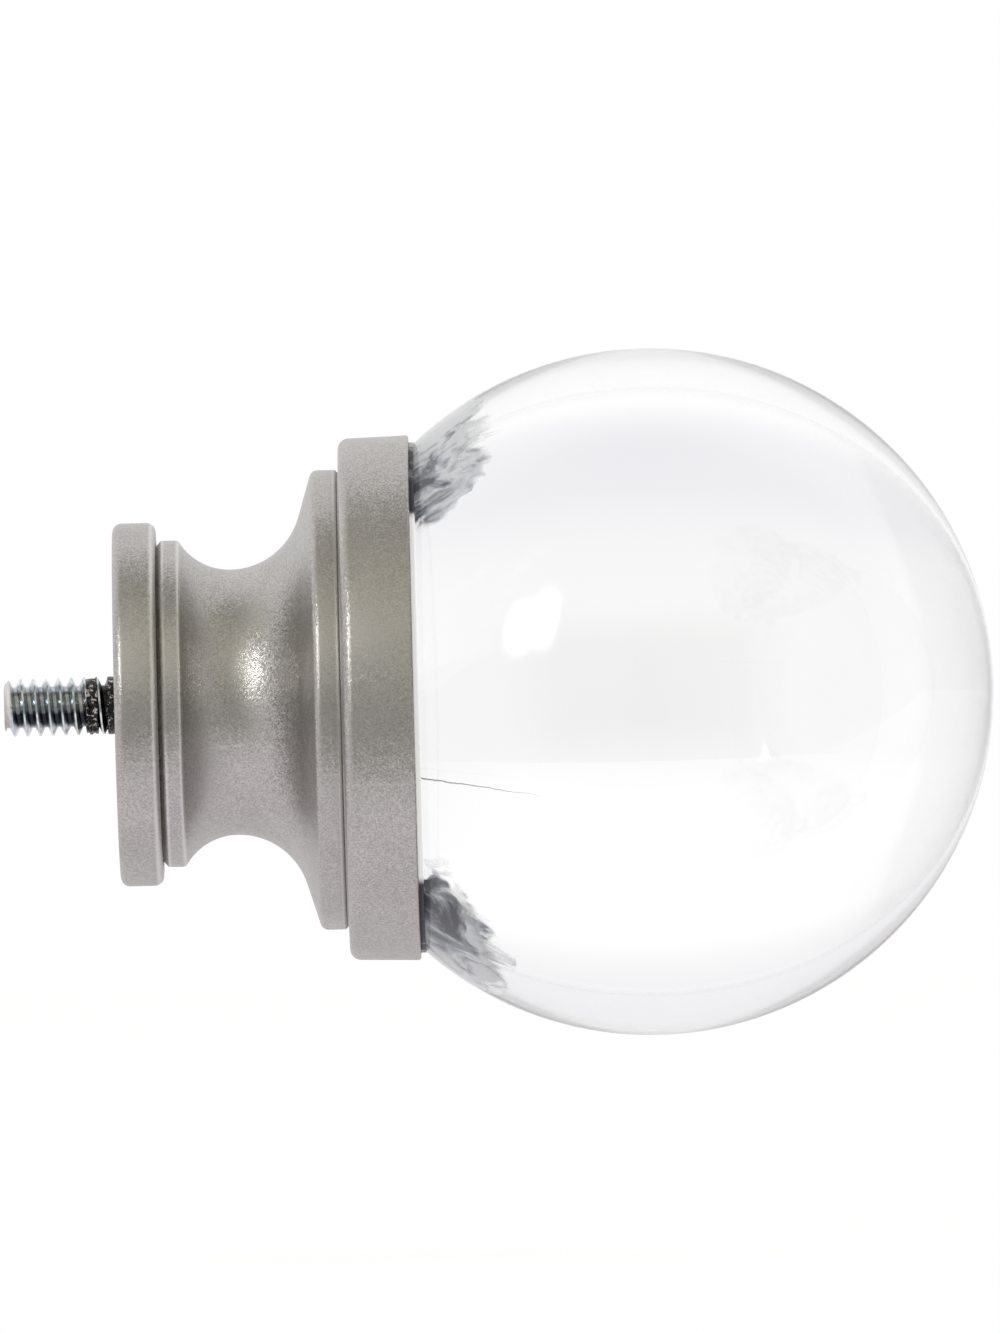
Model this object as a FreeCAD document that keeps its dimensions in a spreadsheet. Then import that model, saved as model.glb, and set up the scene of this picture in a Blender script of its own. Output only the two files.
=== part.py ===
"""Curtain pole finial: a hollow glass ball cemented into a turned metal base with a threaded stud.

Lengths are in millimetres and angles in degrees. The pole's axis is X: the pole lies on the -X
side, the ball on the +X side, and Z is up. The origin is the centre of the base's rear face,
where it meets the end of the pole.
"""
import FreeCAD, Part
import math
import os
import Sketcher

os.makedirs("parts", exist_ok=True)
doc = FreeCAD.newDocument("finial")

# Driving dimensions
SIZES = {
    "flange_dia": 30.2,
    "flange_length": 3.57,
    "flange_round": 0.62,
    "rear_groove_width": 0.42,
    "rear_groove_depth": 0.5,
    "step_drop": 1.52,
    "step_length": 1.43,
    "neck_depth": 2.54,
    "cove_rear_radius": 4.98,
    "cove_front_radius": 5.98,
    "cove_rise": 73.0,
    "shoulder_drop": 2.71,
    "shoulder_length": 2.13,
    "shoulder_round": 0.68,
    "front_groove_width": 0.12,
    "front_groove_depth": 0.35,
    "bead_round": 0.2,
    "collar_taper": 0.13,
    "collar_length": 5.89,
    "collar_round": 0.65,
    "lip_round": 0.22,
    "lip_wall": 0.57,
    "seat_depth": 9.32,
    "ball_dia": 57.15,
    "ball_wall": 3.25,
    "ball_end_wall": 0.6,
    "neck_hole_dia": 16.0,
    "cement_thickness": 0.35,
    "cement_gap": 0.03,
    "cement_edge": 0.03,
    "plug_gap": 0.5,
    "plug_length": 2.7,
    "lining_gap": 0.05,
    "lining_thickness": 0.35,
    "lining_cover": 2.3,
    "lining_reach": 7.5,
    "lining_arm": 0.75,
    "window_bend": 3.8,
    "window_slant": 58.0,
    "stud_dia": 4.826,
    "thread_pitch": 1.058,
    "stud_out": 9.35,
    "stud_in": 9.0,
    "stud_chamfer": 0.5,
    "stud_gap": 0.04,
    "mouth_margin": 0.24,
    "drill_angle": 118.0,
}
sheet = doc.addObject("Spreadsheet::Sheet", "Sizes")
for row, (alias, value) in enumerate(SIZES.items(), 1):
    sheet.set("A%d" % row, alias)
    sheet.set("B%d" % row, str(value))
    sheet.setAlias("B%d" % row, alias)
doc.recompute()

# Radii closer than this are taken as the same round edge
SAME_SIZE = 0.002
# Depth of a 60 degree thread's pitch line below its crests, as a share of the pitch
PITCH_LINE = 0.3248

# Radii that follow from the driving sizes, each written once as an expression
FLANGE_RADIUS = "(Sizes.flange_dia / 2)"
STEP_RADIUS = "(Sizes.flange_dia / 2 - Sizes.step_drop)"
THROAT_RADIUS = "(%s - Sizes.neck_depth)" % STEP_RADIUS
SEAT_RADIUS = "(Sizes.ball_dia / 2 + Sizes.cement_thickness)"
LIP_BORE_RADIUS = "sqrt(%s ^ 2 - (%s - Sizes.seat_depth) ^ 2)" % (SEAT_RADIUS, SEAT_RADIUS)
LIP_RADIUS = "(%s + Sizes.lip_wall)" % LIP_BORE_RADIUS
COLLAR_REAR_RADIUS = "(%s - Sizes.collar_taper)" % LIP_RADIUS
SHOULDER_RADIUS = "(%s - Sizes.shoulder_drop)" % LIP_RADIUS
ENGAGED_RADIUS = "(Sizes.stud_dia / 2 - %s * Sizes.thread_pitch)" % PITCH_LINE
BORE_RADIUS = "(%s + Sizes.stud_gap)" % ENGAGED_RADIUS
MOUTH_RADIUS = "(Sizes.stud_dia / 2 + Sizes.mouth_margin)"
CEMENT_INNER_RADIUS = "(Sizes.ball_dia / 2 + Sizes.cement_gap)"
CEMENT_OUTER_RADIUS = "(%s - Sizes.cement_gap)" % SEAT_RADIUS
BEAD_RADIUS = "(%s - Sizes.cement_gap)" % LIP_BORE_RADIUS

# Places along the axis, each measured on from the one before
REAR_GROOVE_END = "(Sizes.flange_length + Sizes.rear_groove_width)"
COVE_RUN = "sqrt(Sizes.cove_rear_radius ^ 2 - (Sizes.cove_rear_radius - Sizes.neck_depth) ^ 2)"
THROAT_PLACE = "(%s + Sizes.step_length + %s)" % (REAR_GROOVE_END, COVE_RUN)
ARC_RUN = "Sizes.cove_front_radius * sin(Sizes.cove_rise * 1 deg)"
ARC_RISE = "Sizes.cove_front_radius * (1 - cos(Sizes.cove_rise * 1 deg))"
FACE_RUN = "(%s - %s - %s) / tan(Sizes.cove_rise * 1 deg)" % (SHOULDER_RADIUS, THROAT_RADIUS, ARC_RISE)
SHOULDER_PLACE = "(%s + %s + %s + Sizes.shoulder_length)" % (THROAT_PLACE, ARC_RUN, FACE_RUN)
COLLAR_PLACE = "(%s + Sizes.front_groove_width)" % SHOULDER_PLACE
LIP_PLACE = "(%s + Sizes.collar_length)" % COLLAR_PLACE
BALL_PLACE = "(%s + %s - Sizes.seat_depth)" % (LIP_PLACE, SEAT_RADIUS)
SEAT_END = "(%s - Sizes.seat_depth)" % LIP_PLACE
COVER_PLACE = "(%s - Sizes.lining_cover)" % LIP_PLACE
BEAD_REACH = "sqrt(%s ^ 2 - (%s - Sizes.cement_edge) ^ 2)" % (CEMENT_INNER_RADIUS, BEAD_RADIUS)
BEAD_END = "(%s - %s)" % (BALL_PLACE, BEAD_REACH)

# The ball's hollow, a long egg, and how wide it is where the cement's cover ends
HOLLOW_HALF_LENGTH = "(Sizes.ball_dia / 2 - Sizes.ball_end_wall)"
HOLLOW_RADIUS = "(Sizes.ball_dia / 2 - Sizes.ball_wall)"
COVER_SHARE = "((%s - %s) / %s)" % (BALL_PLACE, COVER_PLACE, HOLLOW_HALF_LENGTH)
COVER_RADIUS = "(%s * sqrt(1 - %s ^ 2))" % (HOLLOW_RADIUS, COVER_SHARE)


def worked_out(expression):
    """Value of an expression on the sheet, for placing a sketch's first guess."""
    return float(sheet.evalExpression(expression))


def new_body(name):
    """An empty body whose label is the name of its file."""
    body = doc.addObject("PartDesign::Body", name)
    body.Label = name
    return body


def new_sketch(body, name, plane_role):
    """A sketch on one of its own body's origin planes."""
    sketch = body.newObject("Sketcher::SketchObject", name)
    plane = next(part for part in body.Origin.OriginFeatures if part.Role == plane_role)
    sketch.AttachmentSupport = (plane, [""])
    sketch.MapMode = "FlatFace"
    return sketch


def bind(sketch, kind, *place, to):
    """Add a sized constraint that follows an expression on the sheet."""
    value = worked_out(to)
    if kind == "Angle":
        value = math.radians(value)
    index = sketch.addConstraint(Sketcher.Constraint(kind, *place, value))
    unit = " * 1 deg" if kind == "Angle" else " * 1 mm"
    sketch.setExpression("Constraints[%d]" % index, "(%s)%s" % (to, unit))


def pin(sketch, geometry, point, along=None, out=None):
    """Fix a point's place along the axis, its distance out from it, or both."""
    if along is not None:
        bind(sketch, "DistanceX", -1, 1, geometry, point, to=along)
    if out is not None:
        bind(sketch, "DistanceY", -1, 1, geometry, point, to=out)


def turned_outline(sketch, corners):
    """Closed outline of straight lines whose corners are (along, out) expressions, 0 on the axis."""
    points = [FreeCAD.Vector(worked_out(along), worked_out(out), 0) for along, out in corners]
    for start, end in zip(points, points[1:] + points[:1]):
        sketch.addGeometry(Part.LineSegment(start, end), False)
    count = len(points)
    for line in range(count):
        sketch.addConstraint(Sketcher.Constraint("Coincident", line, 2, (line + 1) % count, 1))
    for line, (along, out) in enumerate(corners):
        if along == "0":
            sketch.addConstraint(Sketcher.Constraint("PointOnObject", line, 1, -2))
        else:
            pin(sketch, line, 1, along=along)
        if out == "0":
            sketch.addConstraint(Sketcher.Constraint("PointOnObject", line, 1, -1))
        else:
            pin(sketch, line, 1, out=out)


def revolve(body, kind, name, sketch):
    """A full turn of a sketch round the pole's axis, added (Revolution) or cut (Groove)."""
    feature = body.newObject("PartDesign::" + kind, name)
    feature.Profile = sketch
    feature.ReferenceAxis = (sketch, ["H_Axis"])
    feature.Angle = 360
    sketch.Visibility = False
    doc.recompute()
    return feature


def rim(shape, radius, front=False):
    """Name of the round edge of this radius: the one nearest the pole, or the front one."""
    found = []
    for number, edge in enumerate(shape.Edges, 1):
        if edge.Degenerated or not isinstance(edge.Curve, Part.Circle):
            continue
        if abs(edge.Curve.Radius - radius) < SAME_SIZE:
            found.append((edge.Curve.Center.x, "Edge%d" % number))
    return max(found)[1] if front else min(found)[1]


def round_rims(body, name, rims, size):
    """Fillet the named round edges of a body's last feature."""
    base = body.Tip
    fillet = body.newObject("PartDesign::Fillet", name)
    fillet.Base = (base, rims)
    fillet.setExpression("Radius", "Sizes.%s * 1 mm" % size)
    doc.recompute()
    return fillet


def casting_blank(body):
    """The turned steps of the base, with the V groove beside the flange and the slit by the collar."""
    sketch = new_sketch(body, "blank_outline", "XZ_Plane")
    rear_groove = STEP_RADIUS + " - Sizes.rear_groove_depth"
    front_groove = SHOULDER_RADIUS + " - Sizes.front_groove_depth"
    turned_outline(sketch, [
        ("0", "0"),
        ("0", FLANGE_RADIUS),
        ("Sizes.flange_length", FLANGE_RADIUS),
        ("Sizes.flange_length", rear_groove),
        (REAR_GROOVE_END, STEP_RADIUS),
        (THROAT_PLACE, STEP_RADIUS),
        (THROAT_PLACE, SHOULDER_RADIUS),
        (SHOULDER_PLACE, SHOULDER_RADIUS),
        (SHOULDER_PLACE, front_groove),
        (COLLAR_PLACE, front_groove),
        (COLLAR_PLACE, COLLAR_REAR_RADIUS),
        (LIP_PLACE, LIP_RADIUS),
        (LIP_PLACE, "0"),
    ])
    return revolve(body, "Revolution", "blank", sketch)


def cut_cove(body):
    """The hollow neck: a small arc up to the step and a larger one that rises to the shoulder."""
    sketch = new_sketch(body, "cove_outline", "XZ_Plane")
    throat = worked_out(THROAT_PLACE)
    bottom = worked_out(THROAT_RADIUS)
    rear = worked_out("Sizes.cove_rear_radius")
    front = worked_out("Sizes.cove_front_radius")
    rise = math.radians(worked_out("Sizes.cove_rise"))
    clear = worked_out(LIP_RADIUS)
    rear_centre = FreeCAD.Vector(throat, bottom + rear, 0)
    front_centre = FreeCAD.Vector(throat, bottom + front, 0)
    upright = FreeCAD.Vector(0, 0, 1)
    rear_top = rear_centre + FreeCAD.Vector(-rear, 0, 0)
    front_end = front_centre + FreeCAD.Vector(front * math.sin(rise), -front * math.cos(rise), 0)
    top_front = FreeCAD.Vector(front_end.x + (clear - front_end.y) / math.tan(rise), clear, 0)
    top_rear = FreeCAD.Vector(rear_top.x, clear, 0)
    rear_circle = Part.Circle(rear_centre, upright, rear)
    front_circle = Part.Circle(front_centre, upright, front)
    quarter = math.pi / 2
    # Lines and arcs: 0 rear arc, 1 front arc, 2 rising face, 3 top, 4 rear side
    sketch.addGeometry(Part.ArcOfCircle(rear_circle, 2 * quarter, 3 * quarter), False)
    sketch.addGeometry(Part.ArcOfCircle(front_circle, 3 * quarter, 3 * quarter + rise), False)
    sketch.addGeometry(Part.LineSegment(front_end, top_front), False)
    sketch.addGeometry(Part.LineSegment(top_front, top_rear), False)
    sketch.addGeometry(Part.LineSegment(top_rear, rear_top), False)
    sketch.addConstraint(Sketcher.Constraint("Coincident", 0, 2, 1, 1))
    sketch.addConstraint(Sketcher.Constraint("Tangent", 1, 2, 2, 1))
    sketch.addConstraint(Sketcher.Constraint("Coincident", 2, 2, 3, 1))
    sketch.addConstraint(Sketcher.Constraint("Coincident", 3, 2, 4, 1))
    sketch.addConstraint(Sketcher.Constraint("Tangent", 4, 2, 0, 1))
    sketch.addConstraint(Sketcher.Constraint("Horizontal", 3))
    sketch.addConstraint(Sketcher.Constraint("Vertical", 4))
    sketch.addConstraint(Sketcher.Constraint("Vertical", 0, 3, 0, 2))
    sketch.addConstraint(Sketcher.Constraint("Vertical", 1, 3, 0, 2))
    pin(sketch, 0, 2, along=THROAT_PLACE, out=THROAT_RADIUS)
    bind(sketch, "Radius", 0, to="Sizes.cove_rear_radius")
    bind(sketch, "Radius", 1, to="Sizes.cove_front_radius")
    bind(sketch, "Angle", 2, to="Sizes.cove_rise")
    pin(sketch, 3, 1, out=LIP_RADIUS)
    return revolve(body, "Groove", "cove", sketch)


def cut_seat(body):
    """The ball's seat: a spherical hollow one cement layer wider than the ball."""
    sketch = new_sketch(body, "seat_outline", "XZ_Plane")
    middle = worked_out(BALL_PLACE)
    radius = worked_out(SEAT_RADIUS)
    centre = FreeCAD.Vector(middle, 0, 0)
    crown = FreeCAD.Vector(middle, radius, 0)
    pole = FreeCAD.Vector(middle - radius, 0, 0)
    circle = Part.Circle(centre, FreeCAD.Vector(0, 0, 1), radius)
    # Lines and arcs: 0 seat, 1 along the axis, 2 from the ball's middle out to the seat
    sketch.addGeometry(Part.ArcOfCircle(circle, math.pi / 2, math.pi), False)
    sketch.addGeometry(Part.LineSegment(pole, centre), False)
    sketch.addGeometry(Part.LineSegment(centre, crown), False)
    sketch.addConstraint(Sketcher.Constraint("Coincident", 0, 2, 1, 1))
    sketch.addConstraint(Sketcher.Constraint("Coincident", 1, 2, 2, 1))
    sketch.addConstraint(Sketcher.Constraint("Coincident", 2, 2, 0, 1))
    sketch.addConstraint(Sketcher.Constraint("Coincident", 1, 2, 0, 3))
    sketch.addConstraint(Sketcher.Constraint("PointOnObject", 1, 1, -1))
    sketch.addConstraint(Sketcher.Constraint("PointOnObject", 1, 2, -1))
    sketch.addConstraint(Sketcher.Constraint("Vertical", 2))
    pin(sketch, 1, 2, along=BALL_PLACE)
    bind(sketch, "Radius", 0, to=SEAT_RADIUS)
    return revolve(body, "Groove", "seat", sketch)


def cut_stud_bore(body):
    """The blind tapped hole: a 90 degree countersunk mouth and the drill's cone at its end."""
    sketch = new_sketch(body, "bore_outline", "XZ_Plane")
    cone = "%s / tan(Sizes.drill_angle / 2 * 1 deg)" % BORE_RADIUS
    turned_outline(sketch, [
        ("0", "0"),
        ("0", MOUTH_RADIUS),
        ("%s - %s" % (MOUTH_RADIUS, BORE_RADIUS), BORE_RADIUS),
        ("Sizes.stud_in", BORE_RADIUS),
        ("Sizes.stud_in + " + cone, "0"),
    ])
    return revolve(body, "Groove", "stud_bore", sketch)


def make_base_casting():
    """The die-cast base: flange, step, neck, shoulder and the collar that holds the ball."""
    body = new_body("base_casting")
    casting_blank(body)
    cut_cove(body)
    cut_seat(body)
    cut_stud_bore(body)
    flange = worked_out(FLANGE_RADIUS)
    shoulder = worked_out(SHOULDER_RADIUS)
    shape = body.Tip.Shape
    round_rims(body, "flange_rims", [rim(shape, flange), rim(shape, flange, front=True)], "flange_round")
    round_rims(body, "shoulder_rim", [rim(body.Tip.Shape, shoulder)], "shoulder_round")
    round_rims(body, "bead_rim", [rim(body.Tip.Shape, shoulder, front=True)], "bead_round")
    collar_rear = worked_out(COLLAR_REAR_RADIUS)
    round_rims(body, "collar_rim", [rim(body.Tip.Shape, collar_rear)], "collar_round")
    lip = worked_out(LIP_RADIUS)
    round_rims(body, "lip_rim", [rim(body.Tip.Shape, lip, front=True)], "lip_round")
    return body


def make_glass_ball():
    """The blown ball: a true sphere outside, a long egg of air inside, open at its cut neck."""
    outside = doc.addObject("Part::Sphere", "ball_outside")
    outside.setExpression("Radius", "Sizes.ball_dia / 2 * 1 mm")
    outside.Placement.Rotation = FreeCAD.Rotation(FreeCAD.Vector(0, 1, 0), 90)
    outside.setExpression("Placement.Base.x", BALL_PLACE + " * 1 mm")
    hollow = doc.addObject("Part::Ellipsoid", "ball_hollow")
    hollow.Placement.Rotation = FreeCAD.Rotation(FreeCAD.Vector(0, 1, 0), 90)
    hollow.setExpression("Radius1", HOLLOW_HALF_LENGTH + " * 1 mm")
    hollow.setExpression("Radius2", HOLLOW_RADIUS + " * 1 mm")
    hollow.setExpression("Radius3", HOLLOW_RADIUS + " * 1 mm")
    hollow.setExpression("Placement.Base.x", BALL_PLACE + " * 1 mm")
    neck = doc.addObject("Part::Cylinder", "ball_neck")
    neck.Placement.Rotation = FreeCAD.Rotation(FreeCAD.Vector(0, 1, 0), 90)
    neck.setExpression("Radius", "Sizes.neck_hole_dia / 2 * 1 mm")
    neck.setExpression("Height", "Sizes.seat_depth * 1 mm")
    neck.setExpression("Placement.Base.x", SEAT_END + " * 1 mm")
    air = doc.addObject("Part::Fuse", "ball_air")
    air.Base = hollow
    air.Tool = neck
    ball = doc.addObject("Part::Cut", "glass_ball")
    ball.Label = "glass_ball"
    ball.Base = outside
    ball.Tool = air
    return ball


def cement_layer():
    """The cement in the seat: a thin spherical cap that ends in a bead just past the lip."""
    body = new_body("cement_layer")
    sketch = new_sketch(body, "layer_outline", "XZ_Plane")
    middle = worked_out(BALL_PLACE)
    inner_radius = worked_out(CEMENT_INNER_RADIUS)
    outer_radius = worked_out(CEMENT_OUTER_RADIUS)
    bead_radius = worked_out(BEAD_RADIUS)
    end_place = worked_out(BEAD_END)
    centre = FreeCAD.Vector(middle, 0, 0)
    upright = FreeCAD.Vector(0, 0, 1)
    end_angle = math.pi - math.acos((middle - end_place) / inner_radius)
    bead_angle = math.pi - math.asin(bead_radius / outer_radius)
    inner_arc = Part.ArcOfCircle(Part.Circle(centre, upright, inner_radius), end_angle, math.pi)
    outer_arc = Part.ArcOfCircle(Part.Circle(centre, upright, outer_radius), bead_angle, math.pi)
    bead_end_point = FreeCAD.Vector(end_place, bead_radius, 0)
    # Lines and arcs: 0 ball side, 1 along the axis, 2 seat side, 3 bead's rim, 4 bead's end
    sketch.addGeometry(inner_arc, False)
    sketch.addGeometry(Part.LineSegment(inner_arc.EndPoint, outer_arc.EndPoint), False)
    sketch.addGeometry(outer_arc, False)
    sketch.addGeometry(Part.LineSegment(outer_arc.StartPoint, bead_end_point), False)
    sketch.addGeometry(Part.LineSegment(bead_end_point, inner_arc.StartPoint), False)
    sketch.addConstraint(Sketcher.Constraint("Coincident", 0, 2, 1, 1))
    sketch.addConstraint(Sketcher.Constraint("Coincident", 1, 2, 2, 2))
    sketch.addConstraint(Sketcher.Constraint("Coincident", 2, 1, 3, 1))
    sketch.addConstraint(Sketcher.Constraint("Coincident", 3, 2, 4, 1))
    sketch.addConstraint(Sketcher.Constraint("Coincident", 4, 2, 0, 1))
    sketch.addConstraint(Sketcher.Constraint("Coincident", 0, 3, 2, 3))
    sketch.addConstraint(Sketcher.Constraint("PointOnObject", 0, 3, -1))
    sketch.addConstraint(Sketcher.Constraint("PointOnObject", 1, 1, -1))
    sketch.addConstraint(Sketcher.Constraint("PointOnObject", 1, 2, -1))
    sketch.addConstraint(Sketcher.Constraint("Horizontal", 3))
    sketch.addConstraint(Sketcher.Constraint("Vertical", 4))
    pin(sketch, 0, 3, along=BALL_PLACE)
    bind(sketch, "Radius", 0, to=CEMENT_INNER_RADIUS)
    bind(sketch, "Radius", 2, to=CEMENT_OUTER_RADIUS)
    pin(sketch, 3, 2, along=BEAD_END, out=BEAD_RADIUS)
    revolve(body, "Revolution", "layer", sketch)
    return body


def hollow_egg(name, inset):
    """An egg like the ball's hollow, smaller all round by an inset."""
    egg = doc.addObject("Part::Ellipsoid", name)
    egg.Placement.Rotation = FreeCAD.Rotation(FreeCAD.Vector(0, 1, 0), 90)
    egg.setExpression("Radius1", "(%s - %s) * 1 mm" % (HOLLOW_HALF_LENGTH, inset))
    egg.setExpression("Radius2", "(%s - %s) * 1 mm" % (HOLLOW_RADIUS, inset))
    egg.setExpression("Radius3", "(%s - %s) * 1 mm" % (HOLLOW_RADIUS, inset))
    egg.setExpression("Placement.Base.x", BALL_PLACE + " * 1 mm")
    return egg


def lining_limit():
    """A block, seen from the side, with two slanted arms: where cement lines the hollow."""
    sketch = doc.addObject("Sketcher::SketchObject", "lining_outline")
    sketch.Placement.Rotation = FreeCAD.Rotation(FreeCAD.Vector(1, 0, 0), 90)
    rear = "(%s - Sizes.ball_dia / 2)" % BALL_PLACE
    bend = "(%s + Sizes.window_bend)" % LIP_PLACE
    end = "(%s + Sizes.lining_reach)" % LIP_PLACE
    slanted = "(Sizes.lining_reach - Sizes.window_bend) * tan(Sizes.window_slant * 1 deg)"
    window_half = "(%s - Sizes.lining_arm)" % COVER_RADIUS
    window_end = "(%s + %s)" % (window_half, slanted)
    top = "Sizes.ball_dia / 2"
    upper = [(end, top), (end, window_end), (bend, window_half), (COVER_PLACE, window_half)]
    lower = [(along, "-(%s)" % out) for along, out in reversed(upper)]
    turned_outline(sketch, [(rear, top)] + upper + lower + [(rear, "-(%s)" % top)])
    block = doc.addObject("Part::Extrusion", "lining_block")
    block.Base = sketch
    block.DirMode = "Normal"
    block.setExpression("LengthFwd", "Sizes.ball_dia / 2 * 1 mm")
    block.setExpression("LengthRev", "Sizes.ball_dia / 2 * 1 mm")
    block.Solid = True
    return block


def make_cement():
    """The cement: a cap in the seat, a plug through the neck, and the smear it left in the hollow."""
    neck_rod = doc.addObject("Part::Cylinder", "neck_rod")
    neck_rod.Placement.Rotation = FreeCAD.Rotation(FreeCAD.Vector(0, 1, 0), 90)
    neck_rod.setExpression("Radius", "(Sizes.neck_hole_dia / 2 - Sizes.plug_gap) * 1 mm")
    neck_rod.setExpression("Height", "Sizes.plug_length * 1 mm")
    neck_rod.setExpression("Placement.Base.x", SEAT_END + " * 1 mm")
    seat_ball = doc.addObject("Part::Sphere", "seat_ball")
    seat_ball.setExpression("Radius", CEMENT_OUTER_RADIUS + " * 1 mm")
    seat_ball.setExpression("Placement.Base.x", BALL_PLACE + " * 1 mm")
    plug = doc.addObject("Part::MultiCommon", "cement_plug")
    plug.Shapes = [neck_rod, seat_ball]
    shell = doc.addObject("Part::Cut", "lining_shell")
    shell.Base = hollow_egg("lining_outside", "Sizes.lining_gap")
    shell.Tool = hollow_egg("lining_inside", "(Sizes.lining_gap + Sizes.lining_thickness)")
    smear = doc.addObject("Part::MultiCommon", "lining_smear")
    smear.Shapes = [shell, lining_limit()]
    cement = doc.addObject("Part::MultiFuse", "cement")
    cement.Label = "cement"
    cement.Shapes = [cement_layer(), plug, smear]
    return cement


def make_threaded_stud():
    """The steel stud: its outside diameter where it stands out, its pitch diameter in the bore."""
    body = new_body("threaded_stud")
    sketch = new_sketch(body, "stud_outline", "XZ_Plane")
    radius = "Sizes.stud_dia / 2"
    turned_outline(sketch, [
        ("-Sizes.stud_out", "0"),
        ("-Sizes.stud_out", radius),
        ("0", radius),
        ("0", ENGAGED_RADIUS),
        ("Sizes.stud_in", ENGAGED_RADIUS),
        ("Sizes.stud_in", "0"),
    ])
    rod = revolve(body, "Revolution", "rod", sketch)
    chamfer = body.newObject("PartDesign::Chamfer", "tip_chamfer")
    chamfer.Base = (rod, [rim(rod.Shape, worked_out(radius))])
    chamfer.setExpression("Size", "Sizes.stud_chamfer * 1 mm")
    doc.recompute()
    return body


pieces = [make_base_casting(), make_glass_ball(), make_cement(), make_threaded_stud()]
doc.recompute()

for item in doc.Objects:
    faults = [state for state in item.State if state in ("Invalid", "Error")]
    if faults:
        raise RuntimeError("%s is %s" % (item.Label, faults))
for piece in pieces:
    if piece.Shape.isNull() or not piece.Shape.isValid() or len(piece.Shape.Solids) != 1:
        raise RuntimeError("%s has no sound solid" % piece.Label)

for piece in pieces:
    piece.Shape.exportStep(os.path.join("parts", piece.Label + ".step"))
    box = piece.Shape.optimalBoundingBox()
    print("%s: %.1f mm3, X %.2f to %.2f, widest %.2f" % (
        piece.Label, piece.Shape.Volume, box.XMin, box.XMax, box.ZLength))
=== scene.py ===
# %% [markdown]
# # A curtain pole finial: glass ball, satin metal base, threaded stud
#
# The real object has four pieces: a turned and painted metal base, a hollow blown glass ball that
# is cemented into the base's collar, the cement itself, and a zinc-plated stud that screws into the
# end of the pole. All four are turned or blown round one axis, X. The frame gives each piece its
# place, and this file gives each one its smooth form and its finish.

# %% Load the frame, with helpers to hang and hide its pieces
import math

import bmesh
import bpy
from mathutils import Matrix, Vector, noise


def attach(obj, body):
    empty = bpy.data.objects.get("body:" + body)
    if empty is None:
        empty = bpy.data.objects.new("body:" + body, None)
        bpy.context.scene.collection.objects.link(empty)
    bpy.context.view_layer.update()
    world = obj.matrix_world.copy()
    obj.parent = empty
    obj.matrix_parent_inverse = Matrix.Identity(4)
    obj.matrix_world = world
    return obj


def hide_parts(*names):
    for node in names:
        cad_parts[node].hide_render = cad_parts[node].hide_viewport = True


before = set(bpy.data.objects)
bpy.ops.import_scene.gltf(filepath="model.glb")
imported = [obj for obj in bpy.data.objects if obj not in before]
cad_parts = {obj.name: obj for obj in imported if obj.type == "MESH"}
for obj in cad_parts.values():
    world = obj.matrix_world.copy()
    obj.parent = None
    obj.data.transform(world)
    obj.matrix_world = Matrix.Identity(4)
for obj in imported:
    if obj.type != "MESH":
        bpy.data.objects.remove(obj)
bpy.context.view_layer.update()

MM = 0.001
AXIS = Vector((1, 0, 0))
ACROSS = Vector((0, 1, 0))

# %% [markdown]
# ## Sizes
#
# The pieces are modelled again here with rounder surfaces than the frame's, because glass shows
# every facet. So the turning sizes come first, in millimetres: each place is measured on from the
# one before, as a turner would mark out the blank, and the seat and the collar follow the ball.

# %% Sizes of the base, from the pole side to the ball side
FLANGE_RADIUS = 15.1
FLANGE_LENGTH = 3.57
FLANGE_ROUND = 0.75
REAR_GROOVE_WIDTH = 0.42
REAR_GROOVE_DEPTH = 0.5
STEP_RADIUS = FLANGE_RADIUS - 1.52
STEP_LENGTH = 1.43
EDGE_ROUND = 0.35
NECK_DEPTH = 2.54
THROAT_RADIUS = STEP_RADIUS - NECK_DEPTH
COVE_REAR = 4.98
COVE_FRONT = 5.98
COVE_RISE = math.radians(73)
SHOULDER_LENGTH = 2.13
SHOULDER_ROUND = 0.68
BEAD_ROUND = 0.32
FRONT_GROOVE_WIDTH = 0.12
FRONT_GROOVE_DEPTH = 0.22
COLLAR_TAPER = 0.13
COLLAR_LENGTH = 5.89
COLLAR_ROUND = 0.9
LIP_ROUND = 0.22
LIP_WALL = 0.57

# %% Sizes of the ball and the cement
BALL_RADIUS = 57.15 / 2
BALL_WALL = 3.25
BALL_END_WALL = 0.6
NECK_HOLE_RADIUS = 8.0
SEAT_DEPTH = 9.32
CEMENT_THICKNESS = 0.35
CEMENT_GAP = 0.03
CEMENT_EDGE = 0.03
PLUG_RADIUS = NECK_HOLE_RADIUS - 0.5
PLUG_LENGTH = 2.7
SMEAR_THICKNESS = 0.35
SMEAR_COVER = 2.3
SMEAR_REACH = 7.5
SMEAR_ARM = 0.75
WINDOW_BEND = 3.8
WINDOW_SLANT = math.radians(58)

# %% Sizes of the stud and its bore
STUD_RADIUS = 4.826 / 2
THREAD_PITCH = 1.058
STUD_OUT = 9.35
STUD_IN = 9.0
STUD_GAP = 0.04
MOUTH_MARGIN = 0.24
STUD_CHAMFER = 0.5
DRILL_ANGLE = math.radians(118)
ENGAGED_RADIUS = STUD_RADIUS - 0.3248 * THREAD_PITCH
BORE_RADIUS = ENGAGED_RADIUS + STUD_GAP
MOUTH_RADIUS = STUD_RADIUS + MOUTH_MARGIN

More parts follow.
